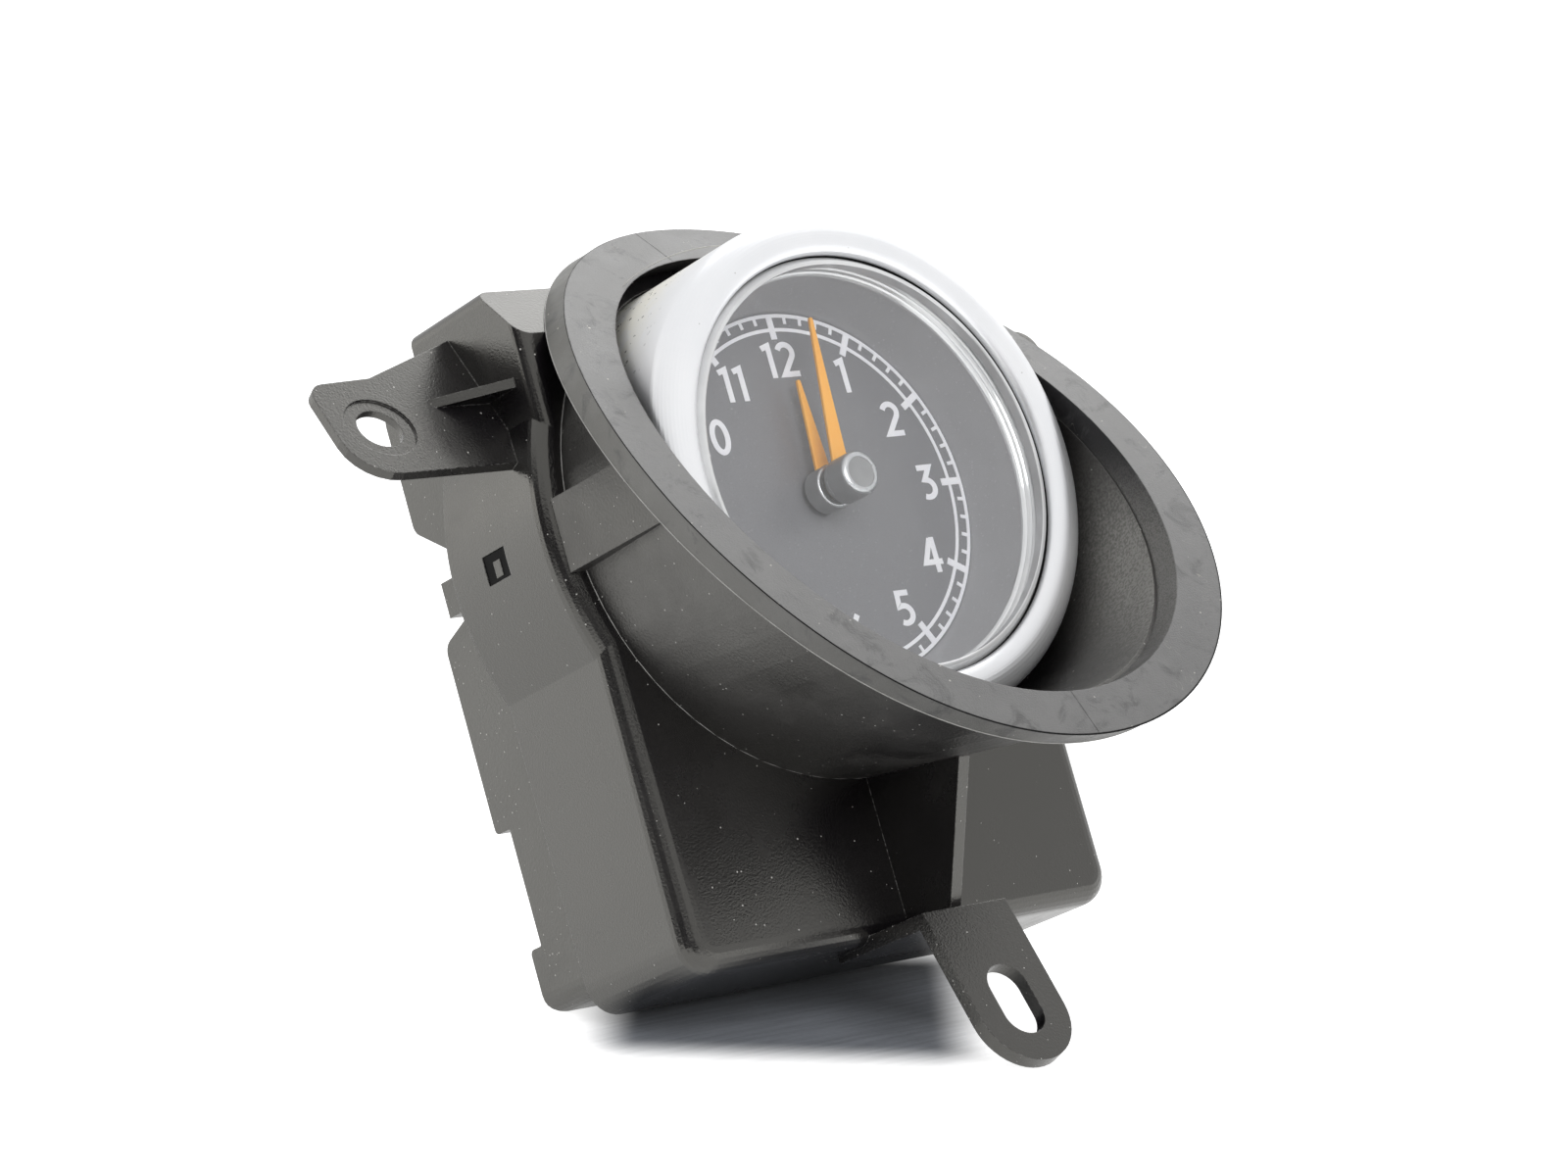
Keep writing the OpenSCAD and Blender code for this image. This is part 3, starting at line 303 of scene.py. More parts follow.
# the funnel's pale colour on its inner faces is a painted sheen
funnelLook = dict(blackLook, **rimSheen, grain=2600.0, cloud=60.0, rough=(0.40, 0.50), bump=0.3, smudgeCover=0.46,
                  wearAmount=0.1, dustShare=0.12, paintedSheen=(0.27, 0.265, 0.25))
coverLook = dict(blackLook, deep=(0.012, 0.0117, 0.0112), pale=(0.02, 0.0195, 0.0185), grain=2600.0, rough=(0.27, 0.36))
socketLook = dict(blackLook, deep=(0.018, 0.018, 0.02), pale=(0.03, 0.03, 0.032), dustShare=0.08)
sealLook = {"deep": (0.19, 0.189, 0.187), "pale": (0.265, 0.263, 0.26), "grain": 4200.0, "cloud": 130.0,
            "rough": (0.42, 0.56), "bump": 0.3, "bumpDepth": 0.0002,
            "faceWay": (0.0, -0.52, 0.854), "faceSpan": (0.62, 0.9), "faceEdge": (0.045, 0.045, 0.044),
            # painted shade: the seal's inner side is nearly black
            "side": (0.20, 0.198, 0.186), "inner": (0.015, 0.0145, 0.0158),
            "smudge": (0.085, 0.085, 0.084), "smudgeScale": 170.0, "smudgeCover": 0.48, "smudgeAmount": 0.75,
            "smudgeRough": -0.08,
            "wearAndGlint": (0.30, 0.295, 0.28), "wearWidth": 0.0003, "wearBreakup": 700.0, "wearAmount": 0.6,
            "dust": (0.80, 0.78, 0.72), "dustScale": 1000.0, "dustShare": 0.08, "dustSize": 0.15,
            "dustAmount": 0.8, "fibre": (0.55, 0.54, 0.48), "fibreAmount": 0.4,
            # painted shade: the seal darkens towards the floor
            "fall": (0.62, 0.62, 0.62), "fallSpan": (0.045, 0.095), "fallAmount": 1.0,
            # painted sheen on the seal's inner side near the rim
            "paintedSheen": (0.30, 0.295, 0.28), **rimSheen}
gasketLook = {"deep": (0.005, 0.005, 0.005), "pale": (0.011, 0.011, 0.011), "grain": 3500.0, "cloud": 150.0,
              "rough": (0.6, 0.75), "bump": 0.2, "bumpDepth": 0.0002, "shader": {"Specular_IOR_Level": 0.12}}
bezelLook = {"deep": (0.83, 0.84, 0.86), "pale": (0.88, 0.885, 0.90), "grain": 9000.0, "cloud": 40.0,
             "rough": (0.34, 0.42), "bump": 0.012, "bumpDepth": 0.00005,
             "grime": (0.84, 0.825, 0.75), "grimeSpan": (0.026, 0.038), "grimeShare": (0.4, 0.5), "grimeRough": 0.3,
             "grimeFilm": {"Scale": 260.0, "Cover": 0.62},
             "grit": (0.05, 0.045, 0.04), "gritGrains": {"Scale": 1500.0, "Share": 0.2, "Size": 0.34},
             "smudge": (0.74, 0.74, 0.72), "smudgeScale": 60.0, "smudgeCover": 0.42, "smudgeAmount": 0.35,
             "smudgeRough": 0.06,
             "dust": (0.35, 0.33, 0.30), "dustScale": 1200.0, "dustShare": 0.03, "dustSize": 0.15, "dustAmount": 0.4,
             "shader": {"Metallic": 0.8}}
printLook = {"deep": (0.87, 0.87, 0.92), "pale": (0.93, 0.93, 0.96), "grain": 2500.0, "cloud": 300.0,
             "rough": (0.45, 0.6), "bump": 0.08, "bumpDepth": 0.00005}
handLook = {"deep": (0.99, 0.45, 0.06), "pale": (1.0, 0.50, 0.08), "grain": 4000.0, "cloud": 200.0,
            "rough": (0.35, 0.48), "bump": 0.06, "bumpDepth": 0.00005,
            "wearAndGlint": (0.95, 0.55, 0.18), "wearWidth": 0.00018, "wearBreakup": 2500.0, "wearAmount": 0.5}
hubLook = {"deep": (0.27, 0.272, 0.278), "pale": (0.33, 0.332, 0.338), "grain": 6000.0, "cloud": 260.0,
           "rough": (0.34, 0.44), "bump": 0.08, "bumpDepth": 0.00005,
           "dust": (0.85, 0.84, 0.82), "dustScale": 900.0, "dustShare": 0.05, "dustSize": 0.12, "dustAmount": 0.8,
           "shader": {"Metallic": 0.35}}
guideLook = {"deep": (0.74, 0.75, 0.74), "pale": (0.84, 0.85, 0.84), "grain": 2000.0, "cloud": 80.0,
             "rough": (0.18, 0.30), "bump": 0.06, "bumpDepth": 0.0001}
carrierLook = {"deep": (0.66, 0.65, 0.61), "pale": (0.76, 0.75, 0.71), "grain": 2600.0, "cloud": 70.0,
               "rough": (0.40, 0.55), "bump": 0.18, "bumpDepth": 0.0002,
               "wearAndGlint": (0.84, 0.83, 0.80), "wearWidth": 0.0002, "wearBreakup": 900.0, "wearAmount": 0.4}
wheelLook = dict(carrierLook, deep=(0.74, 0.71, 0.62), pale=(0.82, 0.79, 0.71), rough=(0.3, 0.42))
bobbinLook = dict(carrierLook, deep=(0.62, 0.55, 0.38), pale=(0.72, 0.65, 0.47))
brassLook = {"deep": (0.66, 0.46, 0.17), "pale": (0.78, 0.58, 0.25), "grain": 5000.0, "cloud": 180.0,
             "rough": (0.20, 0.36), "bump": 0.08, "bumpDepth": 0.00005,
             "smudge": (0.42, 0.29, 0.12), "smudgeScale": 160.0, "smudgeCover": 0.4, "smudgeAmount": 0.4,
             "smudgeRough": 0.12, "shader": {"Metallic": 1.0}}
steelLook = {"deep": (0.50, 0.51, 0.53), "pale": (0.64, 0.65, 0.66), "grain": 5000.0, "cloud": 160.0,
             "rough": (0.22, 0.38), "bump": 0.08, "bumpDepth": 0.00005,
             "wearAndGlint": (0.80, 0.80, 0.80), "wearWidth": 0.0001, "wearBreakup": 1600.0, "wearAmount": 0.5,
             "shader": {"Metallic": 1.0}}
magnetLook = {"deep": (0.07, 0.07, 0.075), "pale": (0.13, 0.13, 0.135), "grain": 4200.0, "cloud": 260.0,
              "rough": (0.45, 0.62), "bump": 0.25, "bumpDepth": 0.0001, "shader": {"Metallic": 0.4}}
chipLook = {"deep": (0.018, 0.018, 0.019), "pale": (0.035, 0.035, 0.036), "grain": 6000.0, "cloud": 400.0,
            "rough": (0.5, 0.66), "bump": 0.3, "bumpDepth": 0.0001}
canLook = {"deep": (0.06, 0.07, 0.11), "pale": (0.09, 0.10, 0.15), "grain": 3000.0, "cloud": 300.0,
           "rough": (0.25, 0.36), "bump": 0.08, "bumpDepth": 0.00005,
           "wearAndGlint": (0.62, 0.63, 0.65), "wearWidth": 0.0003, "wearBreakup": 300.0, "wearAmount": 0.8}
lampLook = {"deep": (0.86, 0.80, 0.52), "pale": (0.92, 0.88, 0.66), "grain": 2000.0, "cloud": 900.0,
            "rough": (0.15, 0.24), "bump": 0.05, "bumpDepth": 0.00005}

# clear ring, bright where its steps catch the light; the edge of the lens, pale grey as a painted reflection of its
# glass edge; thin pale lines
polishLook = {"deep": (0.88, 0.89, 0.90), "pale": (0.95, 0.955, 0.96), "grain": 1500.0, "cloud": 90.0,
              "rough": (0.08, 0.15), "bump": 0.05, "bumpDepth": 0.0001,
              "smudge": (0.6, 0.61, 0.63), "smudgeScale": 140.0, "smudgeCover": 0.42, "smudgeAmount": 0.2,
              "smudgeRough": 0.0, "shader": {"Metallic": 0.4}}
rimLook = {"deep": (0.62, 0.625, 0.63), "pale": (0.74, 0.745, 0.75), "grain": 1500.0, "cloud": 90.0,
           "rough": (0.08, 0.16), "bump": 0.05, "bumpDepth": 0.0001, "shader": {"Metallic": 0.2}}
paleLineLook = {"deep": (0.34, 0.335, 0.32), "pale": (0.46, 0.455, 0.44), "grain": 3000.0, "cloud": 400.0,
             "rough": (0.3, 0.42), "bump": 0.1, "bumpDepth": 0.0001}

# grey lacquer of the dial with fine metal flakes
dialLook = {"base": (0.190, 0.190, 0.202), "paler": 1.08, "flake": (0.34, 0.34, 0.355), "flakeScale": 5200.0,
            "flakeShare": 0.04, "flakeSize": 0.5, "flakeMetal": 0.9, "cloud": 24.0, "rough": (0.36, 0.46),
            "bump": 0.06, "bumpDepth": 0.00005, "shader": {"Coat_Weight": 0.15, "Coat_Roughness": 0.2}}
# painted light: the wall's lacquer is made paler than the dial's
wallLook = dict(dialLook, base=(0.350, 0.350, 0.363), flake=(0.52, 0.52, 0.54), flakeShare=0.08, flakeScale=4200.0)


def dialSurface(name, look):
    material, tree, shader = newMaterial(name, **look["shader"])
    grain = useGroup(tree, grainGroup, Scale=look["flakeScale"], Cloud_Scale=look["cloud"])
    flake = useGroup(tree, dustGroup, Scale=look["flakeScale"], Share=look["flakeShare"],
                     Size=look["flakeSize"])["Mask"]
    paler = [part * look["paler"] for part in look["base"]]
    base = tint(tree, grain["Tone"], rgb(*look["base"]), rgb(*paler))
    tree.links.new(sums(tree, "MULTIPLY", flake, look["flakeMetal"]), shader.inputs["Metallic"])
    bump = put(tree, "ShaderNodeBump", Strength=look["bump"], Distance=look["bumpDepth"], Height=grain["Height"])
    dress(tree, shader, tint(tree, flake, base, rgb(*look["flake"])),
          remap(tree, grain["Tone"], 0.0, 1.0, *look["rough"]), bump)
    return material


# clear moulded lens; light passes it freely on its way to the dial
lensLook = {"grain": 900.0, "cloud": 60.0, "rough": (0.0, 0.025),
            "shader": {"IOR": 1.49, "Transmission_Weight": 1.0, "Base_Color": rgb(0.985, 0.99, 0.99)}}


def lensSurface(name, look):
    material, tree, shader = newMaterial(name, **look["shader"])
    grain = useGroup(tree, grainGroup, Scale=look["grain"], Cloud_Scale=look["cloud"])
    tree.links.new(remap(tree, grain["Tone"], 0.0, 1.0, *look["rough"]), shader.inputs["Roughness"])
    path = put(tree, "ShaderNodeLightPath")
    passing = sums(tree, "MAXIMUM", path.outputs["Is Shadow Ray"], path.outputs["Is Diffuse Ray"])
    clear = put(tree, "ShaderNodeBsdfTransparent")
    both = put(tree, "ShaderNodeMixShader", i0=passing, i1=shader.outputs[0], i2=clear.outputs[0])
    tree.links.new(both.outputs[0], tree.nodes["Material Output"].inputs["Surface"])
    return material


# green board: lacquer over faint copper tracks
boardLook = {"deep": (0.012, 0.085, 0.035), "pale": (0.02, 0.12, 0.05), "track": (0.05, 0.22, 0.08), "trackAmount": 0.6,
             "trackScale": 260.0, "trackGap": 0.035, "trackLayout": {"offset": 0.37, "squash": 0.6},
             "grain": 2400.0, "cloud": 120.0, "rough": (0.3, 0.45), "bump": 0.2, "bumpDepth": 0.0001,
             "shader": {"Coat_Weight": 0.3, "Coat_Roughness": 0.2}}


def boardSurface(name, look):
    material, tree, shader = newMaterial(name, **look["shader"])
    grain = useGroup(tree, grainGroup, Scale=look["grain"], Cloud_Scale=look["cloud"])
    tracks = put(tree, "ShaderNodeTexBrick", look["trackLayout"], Vector=objectSpot(tree), Scale=look["trackScale"],
                 Mortar_Size=look["trackGap"]).outputs["Fac"]
    base = tint(tree, grain["Tone"], rgb(*look["deep"]), rgb(*look["pale"]))
    colour = tint(tree, sums(tree, "MULTIPLY", tracks, look["trackAmount"]), base, rgb(*look["track"]))
    bump = put(tree, "ShaderNodeBump", Strength=look["bump"], Distance=look["bumpDepth"], Height=tracks)
    dress(tree, shader, colour, remap(tree, grain["Tone"], 0.0, 1.0, *look["rough"]), bump)
    return material


# enamelled wire, one turn beside the next
wireLook = {"deep": (0.52, 0.19, 0.07), "pale": (0.70, 0.30, 0.12), "gap": (0.22, 0.07, 0.03),
            "turns": 1400.0, "wander": 1.2, "grain": 2600.0, "cloud": 300.0, "rough": (0.25, 0.4),
            "bump": 0.6, "bumpDepth": 0.0001, "shader": {"Metallic": 0.9}}


def wireSurface(name, look):
    material, tree, shader = newMaterial(name, **look["shader"])
    grain = useGroup(tree, grainGroup, Scale=look["grain"], Cloud_Scale=look["cloud"])
    turns = put(tree, "ShaderNodeTexWave", {"bands_direction": "X"}, Vector=objectSpot(tree), Scale=look["turns"],
                Distortion=look["wander"]).outputs["Fac"]
    base = tint(tree, grain["Tone"], rgb(*look["deep"]), rgb(*look["pale"]))
    bump = put(tree, "ShaderNodeBump", Strength=look["bump"], Distance=look["bumpDepth"], Height=turns)
    dress(tree, shader, tint(tree, turns, rgb(*look["gap"]), base),
          remap(tree, grain["Tone"], 0.0, 1.0, *look["rough"]), bump)
    return material


finishes = {
    "housing": surface("blackHousing", blackLook), "funnel": surface("blackFunnel", funnelLook),
    "seal": surface("greyRubber", sealLook), "bezel": surface("satinAluminium", bezelLook),
    "lens": lensSurface("clearLens", lensLook), "gasket": surface("blackGasket", gasketLook),
    "light_ring": surface("polishedRing", polishLook), "dial": dialSurface("greyLacquer", dialLook),
    "print": surface("whiteInk", printLook), "light_guide": surface("milkyGuide", guideLook),
    "board": boardSurface("greenBoard", boardLook), "lamp": surface("lampBody", lampLook),
    "carrier": surface("paleCarrier", carrierLook), "brass": surface("rolledBrass", brassLook),
    "steel": surface("brightSteel", steelLook), "hand": surface("orangePaint", handLook),
    "hub": surface("silverPaint", hubLook), "wheel": surface("paleWheel", wheelLook),
    "magnet": surface("sinteredMagnet", magnetLook), "bobbin": surface("amberBobbin", bobbinLook),
    "copper": wireSurface("woundWire", wireLook), "chip": surface("chipBody", chipLook),
    "capacitor": surface("sleevedCan", canLook), "socket": surface("blackSocket", socketLook),
    "cover": surface("blackCover", coverLook)}
paleLine, lensRim = surface("paleLine", paleLineLook), surface("lensRim", rimLook)
dialWall = dialSurface("dialWall", wallLook)
for solid in nodes.values():
    for place in solid.material_slots:
        place.material = finishes[place.material.name.split(".")[0]]
print("finishes on", len(nodes), "solids")


# mesh helpers: everything is drawn in the dial's frame and then carried to the row frame
def addPiece(name, points, faces, slotName, body, sharp=35.0, finish=None):
    mesh = bpy.data.meshes.new(name)
    mesh.from_pydata(points, [], faces)
    shape = bmesh.new()
    shape.from_mesh(mesh)
    bmesh.ops.remove_doubles(shape, verts=shape.verts, dist=1e-5)
    bmesh.ops.recalc_face_normals(shape, faces=shape.faces)
    shape.to_mesh(mesh)
    shape.free()
    mesh.transform(dialToRow)
    mesh.shade_smooth()
    mesh.set_sharp_from_angle(angle=math.radians(sharp))
    mesh.materials.append(finish or finishes[slotName])
    piece = bpy.data.objects.new(name, mesh)
    scene.collection.objects.link(piece)
    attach(piece, body)
    return piece


def lathe(profile, steps=160):
    points, faces = [], []
    count = len(profile)
    for step in range(steps):
        turn = 2 * math.pi * step / steps
        points += [(r * math.cos(turn), r * math.sin(turn), z) for r, z in profile]
    for step in range(steps):
        here, there = step * count, (step + 1) % steps * count
        for k in range(count):
            n = (k + 1) % count
            faces.append((here + k, there + k, there + n, here + n))
    return points, faces


def turned(points, degrees):
    c, s = math.cos(math.radians(degrees)), math.sin(math.radians(degrees))
    return [(x * c - y * s, x * s + y * c, z) for x, y, z in points]


def roundCorner(cx, cz, radius, start, end, steps=6):
    angles = [math.radians(start + (end - start) * i / steps) for i in range(steps + 1)]
    return [(cx + radius * math.cos(a), cz + radius * math.sin(a)) for a in angles]


# hands: a flat tapered needle with softened edges, and the turned silver collar it springs from
hands = {"rootWidth": 2.9, "tipWidth": 0.6, "thick": 0.6, "edge": 0.12, "pinch": 0.096, "start": 2.4,
         "sections": (0.0, 0.02, 0.5, 0.985, 1.0), "foot": 0.05, "steps": 96,
         "hour": {"long": 15.5, "front": -8.9, "turn": -0.475, "collar": (-10.3, -7.4), "radius": 3.1, "soft": 0.45,
                  "bore": 2.2},
         "minute": {"long": 23.1, "front": -5.5, "turn": -5.7, "collar": (-6.1, -5.5), "radius": 3.09, "soft": 0.1,
                    "bore": 1.2},
         "cap": {"span": (-5.5, -1.9), "radius": 3.1, "soft": 0.75, "dish": 0.12, "dishEdge": (0.12, 0.3),
                 "dishRise": 0.4, "bore": 0.9}}


def needle(look):
    e, t = hands["edge"], hands["thick"]
    sections = []
    for share in hands["sections"]:
        y = hands["start"] + (look["long"] - hands["start"]) * share
        half = hands["rootWidth"] / 2 + (hands["tipWidth"] - hands["rootWidth"]) / 2 * y / look["long"]
        pinch = hands["pinch"] if share in (0.0, 1.0) else 0.0
        lift = pinch / 2
        sections.append([(s * (half - i - pinch), y, look["front"] - d) for s, i, d in
                         ((-1, e, lift), (1, e, lift), (1, 0, e), (1, 0, t - e), (1, e, t - lift),
                          (-1, e, t - lift), (-1, 0, t - e), (-1, 0, e))])
    points = [p for section in sections for p in section]
    faces = []
    for a in range(len(sections) - 1):
        for k in range(8):
            n = (k + 1) % 8
            faces.append((a * 8 + k, a * 8 + n, a * 8 + 8 + n, a * 8 + 8 + k))
    last = (len(sections) - 1) * 8
    faces += [tuple(range(7, -1, -1)), tuple(range(last, last + 8))]
    return turned(points, look["turn"]), faces


def collar(look):
    back, front = look["collar"]
    radius, soft, foot = look["radius"], look["soft"], hands["foot"]
    profile = [(look["bore"], back), (radius - foot, back), (radius, back + foot)]
    profile += roundCorner(radius - soft, front - soft, soft, 0, 90)
    profile += [(look["bore"], front)]
    return lathe(profile, hands["steps"])


hourNeedle = addPiece("hourNeedle", *needle(hands["hour"]), "hand", "hour_train")
addPiece("hourBoss", *collar(hands["hour"]), "hub", "hour_train")
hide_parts("hour_hand")
minuteNeedle = addPiece("minuteNeedle", *needle(hands["minute"]), "hand", "minute_train")
addPiece("minuteCollar", *collar(hands["minute"]), "hub", "minute_train")
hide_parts("minute_hand")


# the cap's profile ends on its dished face; front and back are closed by one face each
def capShape(look):
    back, front = look["span"]
    r, s, d, bore, foot = look["radius"], look["soft"], look["dish"], look["bore"], hands["foot"]
    profile = [(bore, back), (r - foot, back), (r, back + foot)] + roundCorner(r - s, front - s, s, 0, 90, 8)
    begin, end = look["dishEdge"]
    profile += [(r - s - begin, front - d * look["dishRise"]), (r - s - end, front - d), (bore, front - d)]
    points, faces = lathe(profile, hands["steps"])
    ring = len(profile)
    faces = [f for f in faces if not {ring - 1, 0} <= {i % ring for i in f}]
    bottom = [step * ring for step in range(hands["steps"])]
    faces += [tuple(i + ring - 1 for i in bottom), tuple(reversed(bottom))]
    return points, faces


# bright ring along the rounded edge of the cap and of the boss
rimRing = {"proud": 0.012, "arc": (28, 104), "shrink": 0.992, "inset": 0.02, "sink": 0.05}


def edgeRing(radius, front, soft):
    profile = roundCorner(radius - soft, front - soft, soft + rimRing["proud"], *rimRing["arc"], 8)
    profile += [(r * rimRing["shrink"] - rimRing["inset"], z - rimRing["sink"]) for r, z in reversed(profile)]
    return lathe(profile, hands["steps"])


hubCap = addPiece("hubCap", *capShape(hands["cap"]), "hub", "minute_train")
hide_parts("hub_cap")
for name, look, front, body in (("capEdge", hands["cap"], hands["cap"]["span"][1], "minute_train"),
                                ("bossEdge", hands["hour"], hands["hour"]["collar"][1], "hour_train")):
    addPiece(name, *edgeRing(look["radius"], front, look["soft"]), "steel", body)
print("hands and hub made")

# shallow stepped ring behind the lens, and the grey lacquered wall that stands between it and the dial, its lacquer
# painted paler than the dial's as painted light
ringLook = {"outer": 33.2, "front": -0.42, "start": 29.55, "end": 27.8, "foot": -2.5, "ridges": 4, "groove": 0.1,
            "under": -2.95, "bulge": (0.55, 0.42), "back": 0.12, "sharp": 12.0, "steps": 220}
wallShape = {"top": (27.95, -2.94), "foot": (25.95, -11.31), "thick": 0.45, "steps": 220}


def ringShape(look):
    profile = [(look["outer"], look["under"]), (look["outer"], look["front"]), (look["start"], look["front"])]
    wide = (look["start"] - look["end"]) / look["ridges"]
    deep = (look["front"] - look["foot"]) / look["ridges"]
    slope = deep - look["groove"]
    across, down = look["bulge"]
    for i in range(look["ridges"]):
        r, z = look["start"] - wide * i, look["front"] - deep * i
        profile += [(r - wide * across, z - slope * down), (r - wide, z - slope), (r - wide, z - deep)]
    profile += [(look["end"] + look["back"], look["under"])]
    return lathe(profile, look["steps"])


def wallProfile(look):
    (top, high), (foot, low), thick = look["top"], look["foot"], look["thick"]
    return lathe([(foot, low), (top, high), (top + thick, high), (foot + thick, low)], look["steps"])


lightRing = addPiece("lightRing", *ringShape(ringLook), "light_ring", "case", ringLook["sharp"])
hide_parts("light_ring")
addPiece("dialWall", *wallProfile(wallShape), "dial", "case", finish=dialWall)

# dark seat of the lens in the bezel's lip, partly painted shade for the gap there; the raised edge of the lens, pale as
# a painted reflection; the line around the foot of the funnel
seatLook = {"steps": 200, "profile": ((29.22, 0.81), (29.72, 0.81), (29.72, 1.07), (29.29, 1.07), (29.29, 1.62),
                                      (29.22, 1.62))}
edgeLook = {"steps": 220, "profile": ((27.85, 0.815), (29.18, 0.815), (29.18, 1.2), (28.42, 2.28), (28.3, 2.36),
                                      (27.98, 2.36), (27.85, 2.26))}
footLook = {"radius": 37.75, "depth": -16.12, "thick": 0.085, "sharp": 60.0, "steps": 200}
footProfile = roundCorner(footLook["radius"], footLook["depth"], footLook["thick"], 0, 315, 7)
# partly painted shade: the dark seat ring also stands for the shadow in the gap inside the lip
addPiece("lensSeat", *lathe(seatLook["profile"], seatLook["steps"]), "gasket", "case")
# painted reflection: the lens edge is opaque pale grey for the light its glass edge bends
addPiece("lensEdge", *lathe(edgeLook["profile"], edgeLook["steps"]), "light_ring", "case", finish=lensRim)
addPiece("funnelLine", *lathe(footProfile, footLook["steps"]), "funnel", "case", footLook["sharp"], paleLine)
print("light ring, dial wall, lens seat, lens edge and funnel line made")

# thin lines on the seal: a dark one along the edge of its face, a pale one along its back edge
sealLines = {"halfWide": 42.8, "halfHigh": 44.7, "drop": 0.8, "drum": (-143.39, -228.53), "drumRadius": 276.0,
             "sharp": 70.0,
             "faceLine": {"depth": 0.04, "thick": 0.12, "taper": 0.8},
             "backLine": {"depth": 3.5, "thick": 0.10, "taper": 0.2}}


def rimBead(look, line, steps=200, sides=6):
    points, faces = [], []
    dy, dz = look["drum"]
    reach = look["drumRadius"] - line["depth"]
    for step in range(steps):
        turn = 2 * math.pi * step / steps
        x, y = look["halfWide"] * math.cos(turn), look["halfHigh"] * math.sin(turn) - look["drop"]
        z = dz + math.sqrt(reach ** 2 - (y - dy) ** 2)
        nx, ny = math.cos(turn) / look["halfWide"], math.sin(turn) / look["halfHigh"]
        size = math.hypot(nx, ny)
        thick = line["thick"] * (1 - line["taper"] * (0.5 + 0.5 * math.sin(turn)))
        for k in range(sides):
            a = 2 * math.pi * k / sides
            out = thick * math.cos(a) / size
            points.append((x + nx * out, y + ny * out, z + thick * math.sin(a)))
    for step in range(steps):
        here, there = step * sides, (step + 1) % steps * sides
        faces += [(here + k, there + k, there + (k + 1) % sides, here + (k + 1) % sides) for k in range(sides)]
    return points, faces


addPiece("sealFaceLine", *rimBead(sealLines, sealLines["faceLine"]), "gasket", "case", sealLines["sharp"])
addPiece("sealBackLine", *rimBead(sealLines, sealLines["backLine"]), "seal", "case", sealLines["sharp"], paleLine)
print("seal lines made")


# catch windows: a black plate as painted shade for the dark hole, with the tip of the snap hook in it, on each side
windowLook = {"face": 40.84, "deep": 40.74, "half": 1.94, "span": (-31.92, -27.06),
              "tipFace": 40.93, "tipSide": (-1.5, 0.75), "tipSpan": (-30.1, -28.5), "soft": 0.03}


def roundBlock(low, high, soft):
    shape = bmesh.new()
    bmesh.ops.create_cube(shape, size=1.0)
    middle = [(a + b) / 2 for a, b in zip(low, high)]
    for vert in shape.verts:
        vert.co = [m + c * (b - a) for m, c, a, b in zip(middle, vert.co, low, high)]
    bmesh.ops.bevel(shape, geom=shape.edges[:], offset=soft, segments=2, affect="EDGES")
    shape.verts.index_update()
    points = [tuple(v.co) for v in shape.verts]
    faces = [tuple(v.index for v in f.verts) for f in shape.faces]
    shape.free()
    return points, faces


def catchBlock(look, side, faces, across, span):
    near, far = sorted(side * look[face] for face in faces)
    return roundBlock((near, across[0], span[0]), (far, across[1], span[1]), look["soft"])


for side, label in ((-1, "Left"), (1, "Right")):
    w = windowLook
    # painted shade: a black plate stands in for the dark inside of the window
    addPiece("catchShade" + label, *catchBlock(w, side, ("face", "deep"), (-w["half"], w["half"]), w["span"]),
             "gasket", "case")
    addPiece("catchTip" + label, *catchBlock(w, side, ("tipFace", "face"), w["tipSide"], w["tipSpan"]),
             "cover", "case")
print("catch windows made")

# hour numbers: strokes of one width on a unit-high grid, cut from thin ink
numberLook = {"height": 5.0, "stroke": 0.8, "wide": 1.08, "radius": 19.2, "face": -11.3, "ink": 0.06, "gap": 0.15,
              "lift": 0.004, "sharp": 40.0,
              "nudge": {1: (0.5, -0.3), 3: (0.4, 0.2), 4: (0.0, -0.4), 5: (-0.4, -0.2), 7: (0.4, -0.2), 8: (0.0, -0.4),
                        9: (-0.4, 0.2), 10: (1.4, -0.4), 11: (0.4, -0.3)}}


def bow(cx, cy, rx, ry, start, end, steps=14):
    angles = [math.radians(start + (end - start) * i / steps) for i in range(steps + 1)]
    return [(cx + rx * math.cos(a), cy + ry * math.sin(a)) for a in angles]


def half(strokes, width):
    return [[(width - x, 1 - y) for x, y in stroke] for stroke in strokes]


sixStrokes = [bow(0.285, 0.292, 0.212, 0.214, 0, 360, 30), [(0.40, 0.955), (0.30, 0.80), (0.17, 0.585), (0.095, 0.40)]]
figures = {
    "0": (0.60, [bow(0.30, 0.5, 0.222, 0.424, 0, 360, 36)]),
    "1": (0.32, [[(0.0, 0.842), (0.225, 0.916), (0.225, 0.0)]]),
    "2": (0.58, [bow(0.262, 0.69, 0.228, 0.232, 158, -32) + [(0.09, 0.078), (0.575, 0.078)]]),
    "3": (0.53, [[(0.03, 0.922), (0.43, 0.922), (0.21, 0.575)] + bow(0.215, 0.325, 0.255, 0.247, 72, -118)]),
    "4": (0.62, [[(0.37, 0.965), (0.065, 0.30), (0.62, 0.30)], [(0.43, 1.0), (0.43, 0.0)]]),
    "5": (0.53, [[(0.485, 0.922), (0.125, 0.922), (0.10, 0.545)] + bow(0.222, 0.322, 0.248, 0.244, 104, -122)]),
    "6": (0.57, sixStrokes),
    "7": (0.52, [[(0.02, 0.922), (0.46, 0.922), (0.17, 0.0)]]),
    "8": (0.58, [bow(0.29, 0.287, 0.222, 0.209, 0, 360, 30), bow(0.29, 0.722, 0.186, 0.2, 0, 360, 30)]),
    "9": (0.57, half(sixStrokes, 0.57))}


